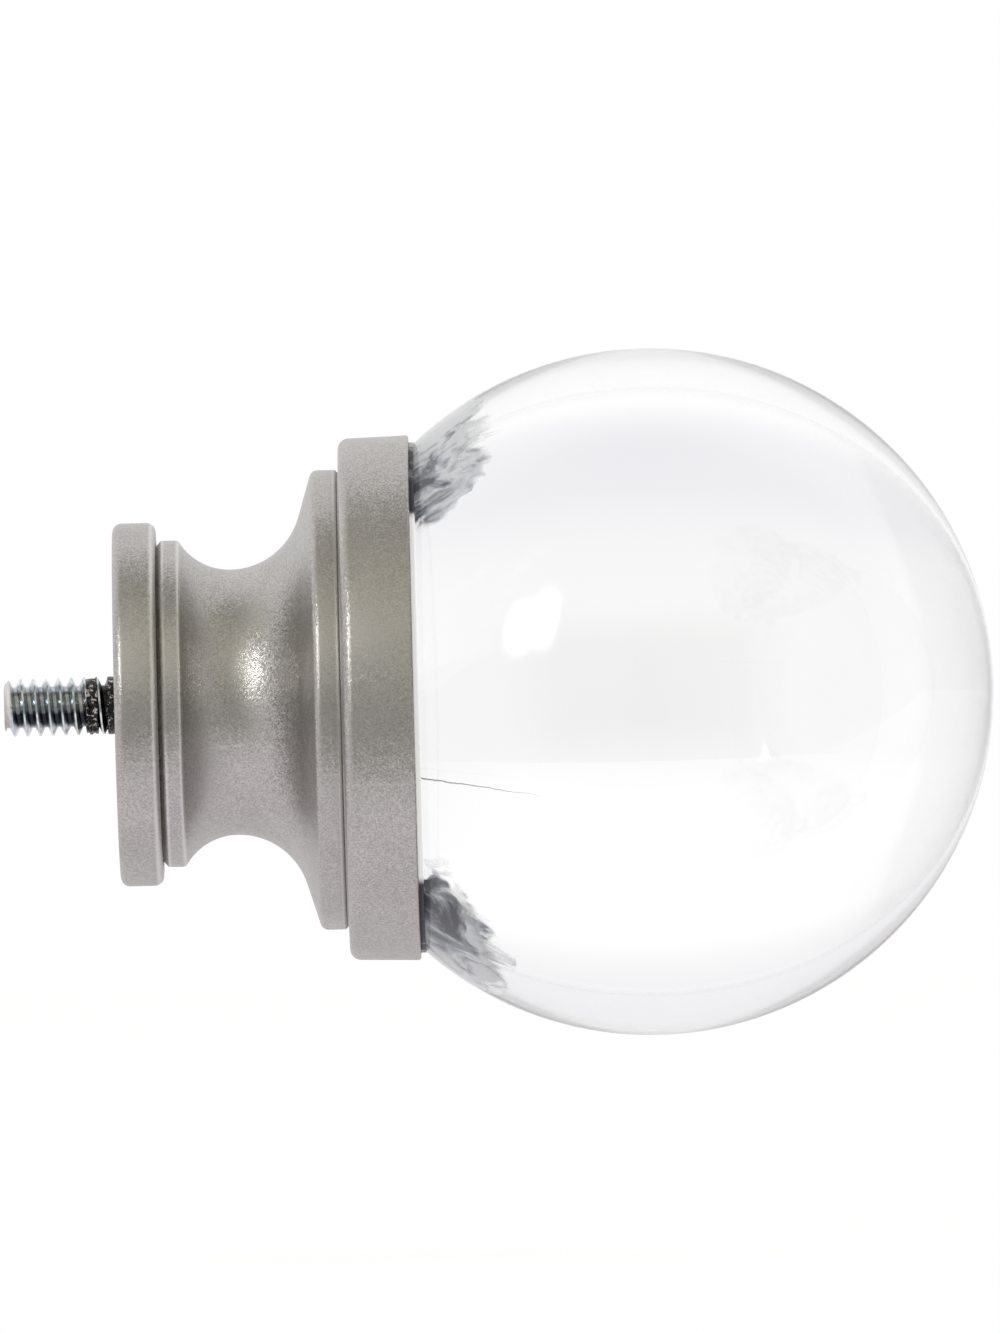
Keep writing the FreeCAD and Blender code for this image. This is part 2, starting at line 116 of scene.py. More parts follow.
# %% Radii and places that follow from those
SEAT_RADIUS = BALL_RADIUS + CEMENT_THICKNESS
LIP_BORE_RADIUS = math.sqrt(SEAT_RADIUS ** 2 - (SEAT_RADIUS - SEAT_DEPTH) ** 2)
LIP_RADIUS = LIP_BORE_RADIUS + LIP_WALL
SHOULDER_RADIUS = LIP_RADIUS - 2.71
GROOVE_END = FLANGE_LENGTH + REAR_GROOVE_WIDTH
STEP_END = GROOVE_END + STEP_LENGTH
COVE_RUN = math.sqrt(COVE_REAR ** 2 - (COVE_REAR - NECK_DEPTH) ** 2)
THROAT_PLACE = STEP_END + COVE_RUN
FACE_RISE = SHOULDER_RADIUS - THROAT_RADIUS - COVE_FRONT * (1 - math.cos(COVE_RISE))
SHOULDER_START = THROAT_PLACE + COVE_FRONT * math.sin(COVE_RISE) + FACE_RISE / math.tan(COVE_RISE)
SHOULDER_END = SHOULDER_START + SHOULDER_LENGTH
COLLAR_START = SHOULDER_END + FRONT_GROOVE_WIDTH
LIP_PLACE = COLLAR_START + COLLAR_LENGTH
BALL_PLACE = LIP_PLACE + SEAT_RADIUS - SEAT_DEPTH
HOLLOW_HALF_LENGTH = BALL_RADIUS - BALL_END_WALL
HOLLOW_RADIUS = BALL_RADIUS - BALL_WALL
cover_share = (BALL_PLACE - LIP_PLACE + SMEAR_COVER) / HOLLOW_HALF_LENGTH
WINDOW_HALF = HOLLOW_RADIUS * math.sqrt(1 - cover_share ** 2) - SMEAR_ARM
print("ball centre at %.2f mm, lip at %.2f mm" % (BALL_PLACE, LIP_PLACE))

# %% [markdown]
# ## Camera
#
# The photograph is a level side view: the round faces of the base show as straight lines, so the
# camera looks square across the axis. The finial lies tipped by a little over a degree in the
# picture, which is done with the camera's roll, because the part stays straight in its own frame.
# The ball gives the scale: its radius in pixels and in millimetres are both known. Hardly any
# perspective shows, so the camera stands 2 m off with a long lens.

# %% Camera at the photograph's angle
PHOTO_WIDTH = 1000
PHOTO_HEIGHT = 1333
BALL_PIXEL = Vector((650.3, 691.7))
BALL_PIXEL_RADIUS = 343.4
CAMERA_DISTANCE = 2.0
CAMERA_ROLL = math.radians(1.45)
SENSOR = 36

metres_per_pixel = BALL_RADIUS * MM / BALL_PIXEL_RADIUS
picture_right = Vector((math.cos(CAMERA_ROLL), 0, -math.sin(CAMERA_ROLL)))
picture_up = Vector((math.sin(CAMERA_ROLL), 0, math.cos(CAMERA_ROLL)))
from_ball = Vector((PHOTO_WIDTH / 2, PHOTO_HEIGHT / 2)) - BALL_PIXEL
picture_centre = BALL_PLACE * MM * AXIS
picture_centre += picture_right * from_ball.x * metres_per_pixel
picture_centre -= picture_up * from_ball.y * metres_per_pixel

camera_data = bpy.data.cameras.new("camera")
camera_data.sensor_width = SENSOR
camera_data.lens = SENSOR * CAMERA_DISTANCE / (PHOTO_HEIGHT * metres_per_pixel)
camera = bpy.data.objects.new("camera", camera_data)
bpy.context.collection.objects.link(camera)
turn = Matrix((picture_right, picture_up, -ACROSS)).transposed()
camera.matrix_world = Matrix.Translation(picture_centre - ACROSS * CAMERA_DISTANCE) @ turn.to_4x4()
bpy.context.scene.camera = camera
bpy.context.scene.view_settings.view_transform = "Standard"
print("lens %.0f mm, one pixel is %.4f mm" % (camera_data.lens, metres_per_pixel / MM))

# %% [markdown]
# ## Helpers for colours and nodes
#
# Colours are written as sRGB hex values, as a paint chart or a picture editor gives them, and one
# function turns them into the linear values that the renderer works in. A second function adds any
# node with its settings and links, which keeps each material short enough to read. Three more lines
# of work come up again and again in the finishes: a soft step, a mix of two colours, and a sum.

# %% Colours and nodes
def linear(hex_colour):
    """An sRGB hex colour as linear red, green, blue and alpha."""
    shares = [int(hex_colour[place:place + 2], 16) / 255 for place in (1, 3, 5)]
    return [s / 12.92 if s <= 0.04045 else ((s + 0.055) / 1.055) ** 2.4 for s in shares] + [1.0]


def add_node(owner, kind, settings=None, inputs=None):
    """Add a node; inputs are values or other nodes' outputs, by socket name or number."""
    tree = owner.node_tree
    made = tree.nodes.new(kind)
    for name, value in (settings or {}).items():
        setattr(made, name, value)
    for name, value in (inputs or {}).items():
        if isinstance(value, bpy.types.NodeSocket):
            tree.links.new(value, made.inputs[name])
        else:
            made.inputs[name].default_value = value
    return made


def new_material(name):
    """An empty node material."""
    material = bpy.data.materials.new(name)
    material.use_nodes = True
    material.node_tree.nodes.clear()
    return material


def show(material, shader):
    """Send a shader to the material's output, and say how many nodes the finish took."""
    add_node(material, "ShaderNodeOutputMaterial", inputs={"Surface": shader})
    print("%s: %d nodes" % (material.name, len(material.node_tree.nodes)))


# %% A soft step, a mix and a sum
def ramp(owner, value, low, high, start=0.0, end=1.0):
    """A smooth step from one value to another as the input goes from low to high."""
    step = add_node(owner, "ShaderNodeMapRange", {"interpolation_type": "SMOOTHSTEP"}, {
        "Value": value, "From Min": low, "From Max": high, "To Min": start, "To Max": end})
    return step.outputs["Result"]


def blend(owner, share, first, second):
    """Mix two colours; each is a linear colour or another node's output."""
    mixed = add_node(owner, "ShaderNodeMix", {"data_type": "RGBA"}, {
        "Factor": share, 6: first, 7: second})
    return mixed.outputs[2]


def calculate(owner, operation, *values):
    """One sum on numbers or other nodes' outputs."""
    return add_node(owner, "ShaderNodeMath", {"operation": operation}, dict(enumerate(values))).outputs[0]


# %% [markdown]
# ## Studio
#
# The picture was taken on a white table before a white wall, with one soft window-like light high on
# the left and a dim room behind the camera. Glass and metal show little but their surroundings, so
# these matter more than the light itself. They could be cards and walls stood round the object. Here
# the world's colour simply depends on each ray's direction, which is quick to tune and costs nothing
# to render. Rays that the camera sends straight past the object find plain white.

# %% World: the direction of each ray
world = bpy.data.worlds.new("studio")
bpy.context.scene.world = world
world.use_nodes = True
world.node_tree.nodes.clear()

ray = add_node(world, "ShaderNodeLightPath")
way = add_node(world, "ShaderNodeTexCoord")
toward = add_node(world, "ShaderNodeSeparateXYZ", inputs={"Vector": way.outputs["Generated"]})
to_right, to_back, to_top = (toward.outputs[name] for name in "XYZ")

# %% [markdown]
# ### What the metal mirrors
#
# The metal's middle is grey because it mirrors the room, which is darkest just below the lens. Its
# top is a little darker where it faces the ceiling, and its far left and right are pale, where the
# wall comes round. Its lower part mirrors the table. Each pair of numbers below is where a soft
# step begins and ends, as a share of the ray's direction: 0 is level or straight on, 1 is all the way.

# %% World: dim room in front, white wall behind
WALL = "#fafafa"
ROOM = "#c9c7ba"
CEILING = "#8f8c86"
SIDES = "#e2dfde"
DARK_MIDDLE = "#9d9e9c"
MIDDLE_WIDENED = 0.42
MIDDLE_LOWERED = 0.14
CEILING_STEP = (0.88, 1.0)
MIDDLE_STEP = (0.1, 0.5)
SIDE_STEP = (0.42, 0.8)
BACK_STEP = (0.0, 0.3)

aside = calculate(world, "MULTIPLY", to_right, MIDDLE_WIDENED)
above = calculate(world, "ADD", to_top, MIDDLE_LOWERED)
off_middle = calculate(world, "SQRT", calculate(
    world, "ADD", calculate(world, "POWER", aside, 2), calculate(world, "POWER", above, 2)))
room = blend(world, ramp(world, to_top, *CEILING_STEP), linear(ROOM), linear(CEILING))
dim_room = blend(world, ramp(world, off_middle, *MIDDLE_STEP), linear(DARK_MIDDLE), room)
side_share = ramp(world, calculate(world, "ABSOLUTE", to_right), *SIDE_STEP)
in_front = blend(world, side_share, dim_room, linear(SIDES))
around_metal = blend(world, ramp(world, to_back, *BACK_STEP), in_front, linear(WALL))

# %% [markdown]
# ### What the glass shows
#
# The ball works as a strong lens: its middle shows a small part of the wall straight behind it, and
# its rim looks far round to the sides. The photograph's ball has a faint grey-lilac oval in its upper
# half, a white lower half and a few grey strokes at its right rim. The wall gets a faint shade and
# haze just where those rays end, and a grey card far to the right gives the rim its strokes.

# %% World: the wall as seen through the ball
LOW_SHADE = "#f1f1f1"
HAZE = "#f0f0f4"
HIGH_WALL = "#ffffff"
GREY_CARD = "#b0b0b4"
STRAIGHT_ON = 0.012
MIDDLE_REACH = (0.015, 0.05)
WIDE_REACH = (0.04, 0.1)
TABLE_LINE = (-0.027, -0.008)
UNDER_HAZE = (0.012, 0.028)
HAZE_RISE = (0.03, 0.1)
HAZE_REACH = (0.05, 0.14)
HIGH_RISE = (0.17, 0.36)
CARD_REACH = (0.6, 0.9)

sideways = calculate(world, "ABSOLUTE", calculate(world, "SUBTRACT", to_right, STRAIGHT_ON))
wide_wall = blend(world, ramp(world, sideways, *WIDE_REACH), linear(WALL), linear(HIGH_WALL))
in_middle = ramp(world, sideways, *MIDDLE_REACH, 1.0, 0.0)
over_table = ramp(world, to_top, *TABLE_LINE, 0.2, 1.0)
below_haze = ramp(world, to_top, *UNDER_HAZE, 1.0, 0.0)
shade_share = calculate(world, "MULTIPLY", in_middle, calculate(world, "MULTIPLY", over_table, below_haze))
shaded_wall = blend(world, shade_share, wide_wall, linear(LOW_SHADE))
haze_share = calculate(world, "MULTIPLY", ramp(world, to_top, *HAZE_RISE),
                       ramp(world, sideways, *HAZE_REACH, 1.0, 0.0))
low_wall = blend(world, haze_share, shaded_wall, linear(HAZE))
wall_seen = blend(world, ramp(world, to_top, *HIGH_RISE), low_wall, linear(HIGH_WALL))
refracted = blend(world, ramp(world, to_right, *CARD_REACH), wall_seen, linear(GREY_CARD))

# %% World: white for the camera, the studio for mirrors and glass, a plain level for the light
SURROUND_LEVEL = 0.85

seen_in_object = blend(world, ray.outputs["Is Transmission Ray"], around_metal, refracted)
seen = blend(world, ray.outputs["Is Camera Ray"], seen_in_object, linear("#ffffff"))
mirror_or_camera = calculate(world, "MAXIMUM", ray.outputs["Is Camera Ray"], ray.outputs["Is Glossy Ray"])
direct = calculate(world, "MAXIMUM", mirror_or_camera, ray.outputs["Is Transmission Ray"])
level = calculate(world, "MULTIPLY_ADD", direct, 1 - SURROUND_LEVEL, SURROUND_LEVEL)
background = add_node(world, "ShaderNodeBackground", inputs={"Color": seen, "Strength": level})
add_node(world, "ShaderNodeOutputWorld", inputs={"Surface": background.outputs[0]})
print("studio world: %d nodes" % len(world.node_tree.nodes))

# %% [markdown]
# ### Key light
#
# One soft box stands on the left in front, a little above the finial. It draws the tall soft
# highlight on the neck and the pale patch in the ball. A spot or a sun would draw a hard one, so it
# is an area lamp, and its cloth glows less towards its edges, as that of a real soft box does.

# %% Key light: one soft box, high on the left in front
KEY_AZIMUTH = math.radians(37.5)
KEY_ELEVATION = math.radians(23.5)
KEY_DISTANCE = 1.0
KEY_WIDTH = 0.25
KEY_HEIGHT = 0.52
KEY_WATTS = 12.0

key_way = Vector((-math.sin(KEY_AZIMUTH) * math.cos(KEY_ELEVATION),
                  -math.cos(KEY_AZIMUTH) * math.cos(KEY_ELEVATION), math.sin(KEY_ELEVATION)))
key_data = bpy.data.lights.new("soft_box", "AREA")
key_data.shape = "RECTANGLE"
key_data.size = KEY_WIDTH
key_data.size_y = KEY_HEIGHT
key_data.energy = KEY_WATTS
key = bpy.data.objects.new("soft_box", key_data)
bpy.context.collection.objects.link(key)
key.location = BALL_PLACE * MM * AXIS + key_way * KEY_DISTANCE
key.rotation_mode = "QUATERNION"
key.rotation_quaternion = key_way.to_track_quat("Z", "Y")
print("soft box at", [round(place, 3) for place in key.location])

# %% The soft box's cloth, which fades out towards all four edges
KEY_SOFT_EDGE = 0.5
CLOTH_FALL_OFF = 2

key_data.use_nodes = True
key_data.node_tree.nodes.clear()
on_cloth = add_node(key_data, "ShaderNodeNewGeometry")
cloth = add_node(key_data, "ShaderNodeSeparateXYZ", inputs={"Vector": on_cloth.outputs["Parametric"]})
cloth_glow = 1.0
for across in ("X", "Y"):
    for edge, inside in ((0.0, KEY_SOFT_EDGE), (1.0, 1 - KEY_SOFT_EDGE)):
        cloth_glow = calculate(key_data, "MULTIPLY", cloth_glow,
                               ramp(key_data, cloth.outputs[across], edge, inside))
cloth_light = add_node(key_data, "ShaderNodeEmission", inputs={
    "Color": linear("#ffffff"), "Strength": calculate(key_data, "POWER", cloth_glow, CLOTH_FALL_OFF)})
add_node(key_data, "ShaderNodeOutputLight", inputs={"Surface": cloth_light.outputs[0]})

# %% [markdown]
# ### Table
#
# The finial lies over a plain white table. A lit white plane would come out grey beside a white
# background, so most of what the camera sees of it is a plain white glow, and a quarter is real
# light, which keeps the soft shadow. Mirrored and refracted rays see it in nearly white tones; for
# refracted rays a painted shade makes it a little greyer close under the ball, where the ball's
# shadow falls. It ends not far in front of the finial, where the dim room begins: that gives the
# metal's lower part its pale edge.

# %% Table finish
TABLE_LEVEL = -46.0
TABLE_WHITE = "#f4f4f4"
MIRRORED_TABLE = "#f1eef0"
SHADED_NEAR_TABLE = "#efeff1"
FAR_TABLE = "#fefefe"
UNDER_BALL_SHADE_STEP = (0.05, 0.17)
FAR_STEP = (0.9, 1.75)
SHADOW_SHARE = 0.25
GLOW_LEVEL = 1.15
REFRACTED_LEVEL = 1.04

table_paint = new_material("white_table")
table_ray = add_node(table_paint, "ShaderNodeLightPath")
mirrored_ray = table_ray.outputs["Is Glossy Ray"]
refracted_ray = table_ray.outputs["Is Transmission Ray"]
matt = add_node(table_paint, "ShaderNodeBsdfDiffuse", inputs={"Color": linear(TABLE_WHITE)})
glow = add_node(table_paint, "ShaderNodeEmission", inputs={
    "Color": linear("#ffffff"), "Strength": GLOW_LEVEL})
mirrored_glow = add_node(table_paint, "ShaderNodeEmission", inputs={
    "Color": linear(MIRRORED_TABLE), "Strength": 1.0})
table_place = add_node(table_paint, "ShaderNodeTexCoord")
from_foot = add_node(table_paint, "ShaderNodeVectorMath", {"operation": "DISTANCE"}, {
    0: table_place.outputs["Object"], 1: (BALL_PLACE * MM, 0, TABLE_LEVEL * MM)})
how_far = from_foot.outputs["Value"]
# Painted shade: refracted rays see the table greyer close under the ball, where its shadow falls
shaded_table_colour = blend(table_paint, ramp(table_paint, how_far, *UNDER_BALL_SHADE_STEP),
                    linear(SHADED_NEAR_TABLE), linear(FAR_TABLE))
table_seen = blend(table_paint, ramp(table_paint, how_far, *FAR_STEP), shaded_table_colour, linear(WALL))
refracted_glow = add_node(table_paint, "ShaderNodeEmission", inputs={
    "Color": table_seen, "Strength": REFRACTED_LEVEL})
white_share = calculate(table_paint, "MULTIPLY", table_ray.outputs["Is Camera Ray"], 1 - SHADOW_SHARE)
lit = add_node(table_paint, "ShaderNodeMixShader", inputs={
    0: white_share, 1: matt.outputs[0], 2: glow.outputs[0]})
indirect = add_node(table_paint, "ShaderNodeMixShader", inputs={
    0: refracted_ray, 1: mirrored_glow.outputs[0], 2: refracted_glow.outputs[0]})
table_mix = add_node(table_paint, "ShaderNodeMixShader", inputs={
    0: calculate(table_paint, "MAXIMUM", mirrored_ray, refracted_ray),
    1: lit.outputs[0], 2: indirect.outputs[0]})
show(table_paint, table_mix.outputs[0])

# %% Table top, which is no part of the object
TABLE_FRONT = -85.0
TABLE_BACK = 1800.0
TABLE_SIDE = 1500.0

sheet = bmesh.new()
table_middle = Vector((0, (TABLE_FRONT + TABLE_BACK) / 2, TABLE_LEVEL)) * MM
table_stretch = Matrix.Diagonal((TABLE_SIDE * MM, (TABLE_BACK - TABLE_FRONT) / 2 * MM, 1, 1))
bmesh.ops.create_grid(sheet, x_segments=1, y_segments=1, size=1.0,
                      matrix=Matrix.Translation(table_middle) @ table_stretch)
table_mesh = bpy.data.meshes.new("table")
sheet.to_mesh(table_mesh)
sheet.free()
table = bpy.data.objects.new("table", table_mesh)
bpy.context.collection.objects.link(table)
table_mesh.materials.append(table_paint)
print("table %.1f by %.2f m" % (2 * TABLE_SIDE * MM, (TABLE_BACK - TABLE_FRONT) * MM))

# %% [markdown]
# ## Turning on a lathe
#
# Base, cement and stud are bodies of revolution, so each starts as an outline in the plane of the
# axis, drawn as a turner's template is: a point is pulled along to make straight lines, and spun
# round a centre to make arcs. One full spin round the axis then turns the outline into a solid.

# %% Drawing an outline and turning it
ROUND_STEPS = 8
TURN_STEPS = 192
SAME_POINT = 1e-7
QUARTER = math.pi / 2


def start_at(outline, along, out):
    """The outline's first point, in millimetres along the axis and out from it."""
    return outline.verts.new((along * MM, 0, out * MM))


def line_to(outline, last, along, out):
    """A straight line on from the last point; returns the new one."""
    made = bmesh.ops.extrude_vert_indiv(outline, verts=[last])["verts"][0]
    made.co = (along * MM, 0, out * MM)
    return made


def arc_round(outline, last, along, out, angle, steps=ROUND_STEPS):
    """An arc on from the last point round a centre; a positive angle turns clockwise in the picture."""
    made = bmesh.ops.spin(outline, geom=[last], cent=(along * MM, 0, out * MM), axis=ACROSS,
                          angle=angle, steps=steps)
    return next(item for item in made["geom_last"] if isinstance(item, bmesh.types.BMVert))


def turn_solid(outline):
    """Spin the whole outline once round the axis and close the seam."""
    bmesh.ops.spin(outline, geom=outline.verts[:] + outline.edges[:], cent=(0, 0, 0), axis=AXIS,
                   angle=2 * math.pi, steps=TURN_STEPS, use_merge=True)
    bmesh.ops.remove_doubles(outline, verts=outline.verts[:], dist=SAME_POINT)
    bmesh.ops.recalc_face_normals(outline, faces=outline.faces[:])


def finish_piece(shape, name, node, material, edge_angle):
    """Make the object, shade it smooth up to an edge angle, and let it stand for its CAD node."""
    mesh = bpy.data.meshes.new(name)
    shape.to_mesh(mesh)
    shape.free()
    mesh.shade_smooth()
    mesh.set_sharp_from_angle(angle=math.radians(edge_angle))
    piece = bpy.data.objects.new(name, mesh)
    bpy.context.collection.objects.link(piece)
    mesh.materials.append(material)
    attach(piece, "root")
    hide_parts(node)
    print("%s: %d faces" % (name, len(mesh.polygons)))


# %% [markdown]
# ## Satin nickel paint
#
# The base is a zinc casting sprayed with a metallic paint: fine aluminium flakes lie in a clear
# binder at slightly different tilts. To the eye that is a warm grey satin with a fine sparkle and
# broad soft highlights. One plain grey metal would give the highlights but not the grain, so small
# random cells vary each flake's brightness and tilt. Real flakes are about 0.05 mm; they are drawn
# at 0.1 mm, because finer ones vanish in the render. Soft clouds of a few millimetres stand for the
# spray's uneven coat.

# %% Flakes and the spray's clouds
FLAKE = 0.1 * MM
FLAKE_DARK = "#aba8a6"
FLAKE_BRIGHT = "#d2cfcc"
CLOUD = 6.0 * MM
CLOUD_STEP = (0.3, 0.7)
THIN_COAT = 0.93

nickel = new_material("satin_nickel_flake_paint")
place = add_node(nickel, "ShaderNodeTexCoord")
flakes = add_node(nickel, "ShaderNodeTexVoronoi", {"feature": "F1"}, {
    "Vector": place.outputs["Object"], "Scale": 1 / FLAKE, "Randomness": 1.0})
flake_tone = add_node(nickel, "ShaderNodeSeparateColor", inputs={"Color": flakes.outputs["Color"]})
flake_range = add_node(nickel, "ShaderNodeValToRGB", inputs={"Fac": flake_tone.outputs["Red"]})
flake_range.color_ramp.elements[0].color = linear(FLAKE_DARK)
flake_range.color_ramp.elements[1].color = linear(FLAKE_BRIGHT)
clouds = add_node(nickel, "ShaderNodeTexNoise", inputs={
    "Vector": place.outputs["Object"], "Scale": 1 / CLOUD, "Detail": 3.0, "Roughness": 0.5})
cloud_tone = ramp(nickel, clouds.outputs["Fac"], *CLOUD_STEP, THIN_COAT, 1.0)
shaded = add_node(nickel, "ShaderNodeVectorMath", {"operation": "SCALE"}, {
    0: flake_range.outputs["Color"], "Scale": cloud_tone})

# %% Painted highlights: lighter lines along the turned edges
EDGE_HIGHLIGHT_TONE = "#f6f4f0"
EDGE_LINES = (FLANGE_LENGTH - 0.35, GROOVE_END + 0.1, STEP_END, SHOULDER_END - 0.2)
LINE_REACH = 0.28
LINE_SHARE = 0.5

nickel_xyz = add_node(nickel, "ShaderNodeSeparateXYZ", inputs={"Vector": place.outputs["Object"]})
edge_highlight = 0.0
for edge in EDGE_LINES:
    off_edge = calculate(nickel, "ABSOLUTE", calculate(
        nickel, "SUBTRACT", nickel_xyz.outputs["X"], edge * MM))
    on_edge = ramp(nickel, off_edge, 0.0, LINE_REACH * MM, LINE_SHARE, 0.0)
    edge_highlight = calculate(nickel, "MAXIMUM", edge_highlight, on_edge)
# Painted highlight: these lighter lines stand in for the highlights on the rounded edges
paint = blend(nickel, edge_highlight, shaded.outputs[0], linear(EDGE_HIGHLIGHT_TONE))
print("edge lines at", ["%.2f mm" % edge for edge in EDGE_LINES])

# %% Tilt of each flake, and the moulding seam along both sides
FLAKE_TILT = 0.22
SEAM_ANGLE = math.radians(19)
SEAM_HALF_WIDTH = 0.09 * MM
SEAM_HEIGHT = 0.04 * MM
SATIN = 0.38

facing = add_node(nickel, "ShaderNodeNewGeometry")
tilt = add_node(nickel, "ShaderNodeVectorMath", {"operation": "SUBTRACT"}, {
    0: flakes.outputs["Color"], 1: (0.5, 0.5, 0.5)})
tilted = add_node(nickel, "ShaderNodeVectorMath", {"operation": "MULTIPLY_ADD"}, {
    0: tilt.outputs[0], 1: (FLAKE_TILT, FLAKE_TILT, FLAKE_TILT), 2: facing.outputs["Normal"]})
flake_way = add_node(nickel, "ShaderNodeVectorMath", {"operation": "NORMALIZE"}, {0: tilted.outputs[0]})
off_seam = add_node(nickel, "ShaderNodeVectorMath", {"operation": "DOT_PRODUCT"}, {
    0: place.outputs["Object"], 1: (0, math.sin(SEAM_ANGLE), -math.cos(SEAM_ANGLE))})
# The two halves of the mould sat a hair apart, so the seam is a small step and not a ridge
seam = ramp(nickel, off_seam.outputs["Value"], -SEAM_HALF_WIDTH, SEAM_HALF_WIDTH, 1.0, 0.0)
grain = add_node(nickel, "ShaderNodeBump", inputs={
    "Strength": 0.6, "Distance": SEAM_HEIGHT, "Height": seam, "Normal": flake_way.outputs[0]})
nickel_shader = add_node(nickel, "ShaderNodeBsdfPrincipled", inputs={
    "Base Color": paint, "Metallic": 1.0, "Roughness": SATIN, "Normal": grain.outputs["Normal"]})
show(nickel, nickel_shader.outputs["BSDF"])

# %% [markdown]
# ## The base
#
# The outline runs from the bottom of the stud's bore, out over the flange, along the step and the
# hollow neck, over the shoulder and the collar to the lip, and back down the ball's seat to the
# axis. It could be cut from cylinders one by one, but one outline shows every step and arc in order,
# and a single spin keeps them true to each other. The neck is two arcs of different radius that
# share their lowest point.

# %% Outline of the base: bore, flange and rear groove
base = bmesh.new()
cone_length = BORE_RADIUS / math.tan(DRILL_ANGLE / 2)
point = start_at(base, STUD_IN + cone_length, 0)
point = line_to(base, point, STUD_IN, BORE_RADIUS)
point = line_to(base, point, MOUTH_RADIUS - BORE_RADIUS, BORE_RADIUS)
point = line_to(base, point, 0, MOUTH_RADIUS)
point = line_to(base, point, 0, FLANGE_RADIUS - FLANGE_ROUND)
point = arc_round(base, point, FLANGE_ROUND, FLANGE_RADIUS - FLANGE_ROUND, QUARTER)
point = line_to(base, point, FLANGE_LENGTH - FLANGE_ROUND, FLANGE_RADIUS)
point = arc_round(base, point, FLANGE_LENGTH - FLANGE_ROUND, FLANGE_RADIUS - FLANGE_ROUND, QUARTER)
point = line_to(base, point, FLANGE_LENGTH, STEP_RADIUS - REAR_GROOVE_DEPTH)

# %% Outline of the base: step and hollow neck
COVE_STEPS = 24

# Both edges of the step are broken by a small round; the front one runs straight on into the cove
groove_rise = math.atan2(REAR_GROOVE_DEPTH, REAR_GROOVE_WIDTH)
rise_tangent = EDGE_ROUND * math.tan(groove_rise / 2)
point = line_to(base, point, GROOVE_END - rise_tangent * math.cos(groove_rise),
                STEP_RADIUS - rise_tangent * math.sin(groove_rise))
point = arc_round(base, point, GROOVE_END + rise_tangent, STEP_RADIUS - EDGE_ROUND, groove_rise)
rear_turn = math.acos((COVE_REAR - NECK_DEPTH + EDGE_ROUND) / (COVE_REAR + EDGE_ROUND))
edge_place = THROAT_PLACE - (COVE_REAR + EDGE_ROUND) * math.sin(rear_turn)
point = line_to(base, point, edge_place, STEP_RADIUS)
point = arc_round(base, point, edge_place, STEP_RADIUS - EDGE_ROUND, rear_turn)
point = arc_round(base, point, THROAT_PLACE, THROAT_RADIUS + COVE_REAR, -rear_turn, COVE_STEPS)
point = arc_round(base, point, THROAT_PLACE, THROAT_RADIUS + COVE_FRONT, -COVE_RISE, COVE_STEPS)
print("throat at %.2f mm, radius %.2f mm" % (THROAT_PLACE, THROAT_RADIUS))

# %% Outline of the base: shoulder, front groove and collar
shoulder_tangent = SHOULDER_ROUND * math.tan(COVE_RISE / 2)
point = line_to(base, point, SHOULDER_START - shoulder_tangent * math.cos(COVE_RISE),
                SHOULDER_RADIUS - shoulder_tangent * math.sin(COVE_RISE))
point = arc_round(base, point, SHOULDER_START + shoulder_tangent, SHOULDER_RADIUS - SHOULDER_ROUND,
                  COVE_RISE)
point = line_to(base, point, SHOULDER_END - BEAD_ROUND, SHOULDER_RADIUS)
point = arc_round(base, point, SHOULDER_END - BEAD_ROUND, SHOULDER_RADIUS - BEAD_ROUND, QUARTER)
point = line_to(base, point, SHOULDER_END, SHOULDER_RADIUS - FRONT_GROOVE_DEPTH)
point = line_to(base, point, COLLAR_START, SHOULDER_RADIUS - FRONT_GROOVE_DEPTH)
collar_rear = LIP_RADIUS - COLLAR_TAPER
point = line_to(base, point, COLLAR_START, collar_rear - COLLAR_ROUND)
point = arc_round(base, point, COLLAR_START + COLLAR_ROUND, collar_rear - COLLAR_ROUND, QUARTER)
point = line_to(base, point, LIP_PLACE - LIP_ROUND, LIP_RADIUS)
point = arc_round(base, point, LIP_PLACE - LIP_ROUND, LIP_RADIUS - LIP_ROUND, QUARTER)
point = line_to(base, point, LIP_PLACE, LIP_BORE_RADIUS)

# %% The ball's seat, and the full turn
SEAT_STEPS = 32
BASE_EDGE_ANGLE = 32

seat_turn = math.asin(LIP_BORE_RADIUS / SEAT_RADIUS)
arc_round(base, point, BALL_PLACE, 0, -seat_turn, SEAT_STEPS)
turn_solid(base)
finish_piece(base, "painted_base", "base_casting", nickel, BASE_EDGE_ANGLE)

# %% [markdown]
# ## Marbled cement
#
# The ball is held by a filled resin cement that was stirred badly: smoky grey clouds and dark streaks
# lie in white. At the top and bottom some of it crept past the neck and dried on the inside of the
# glass, where it shows as two feathered grey patches beside the collar. The patches could be cut out
# of a mesh alone, but a dried smear thins out to nothing, so the mesh only gives it room, and the
# finish works out where the film ends. Distances come first: how far a place lies inside the border.

# %% Where the smear ends: a straight end, and a window that opens past the lip
CLEAR_HALF_HEIGHT = 14.7 * MM
CLEAR_FADE = 0.8 * MM

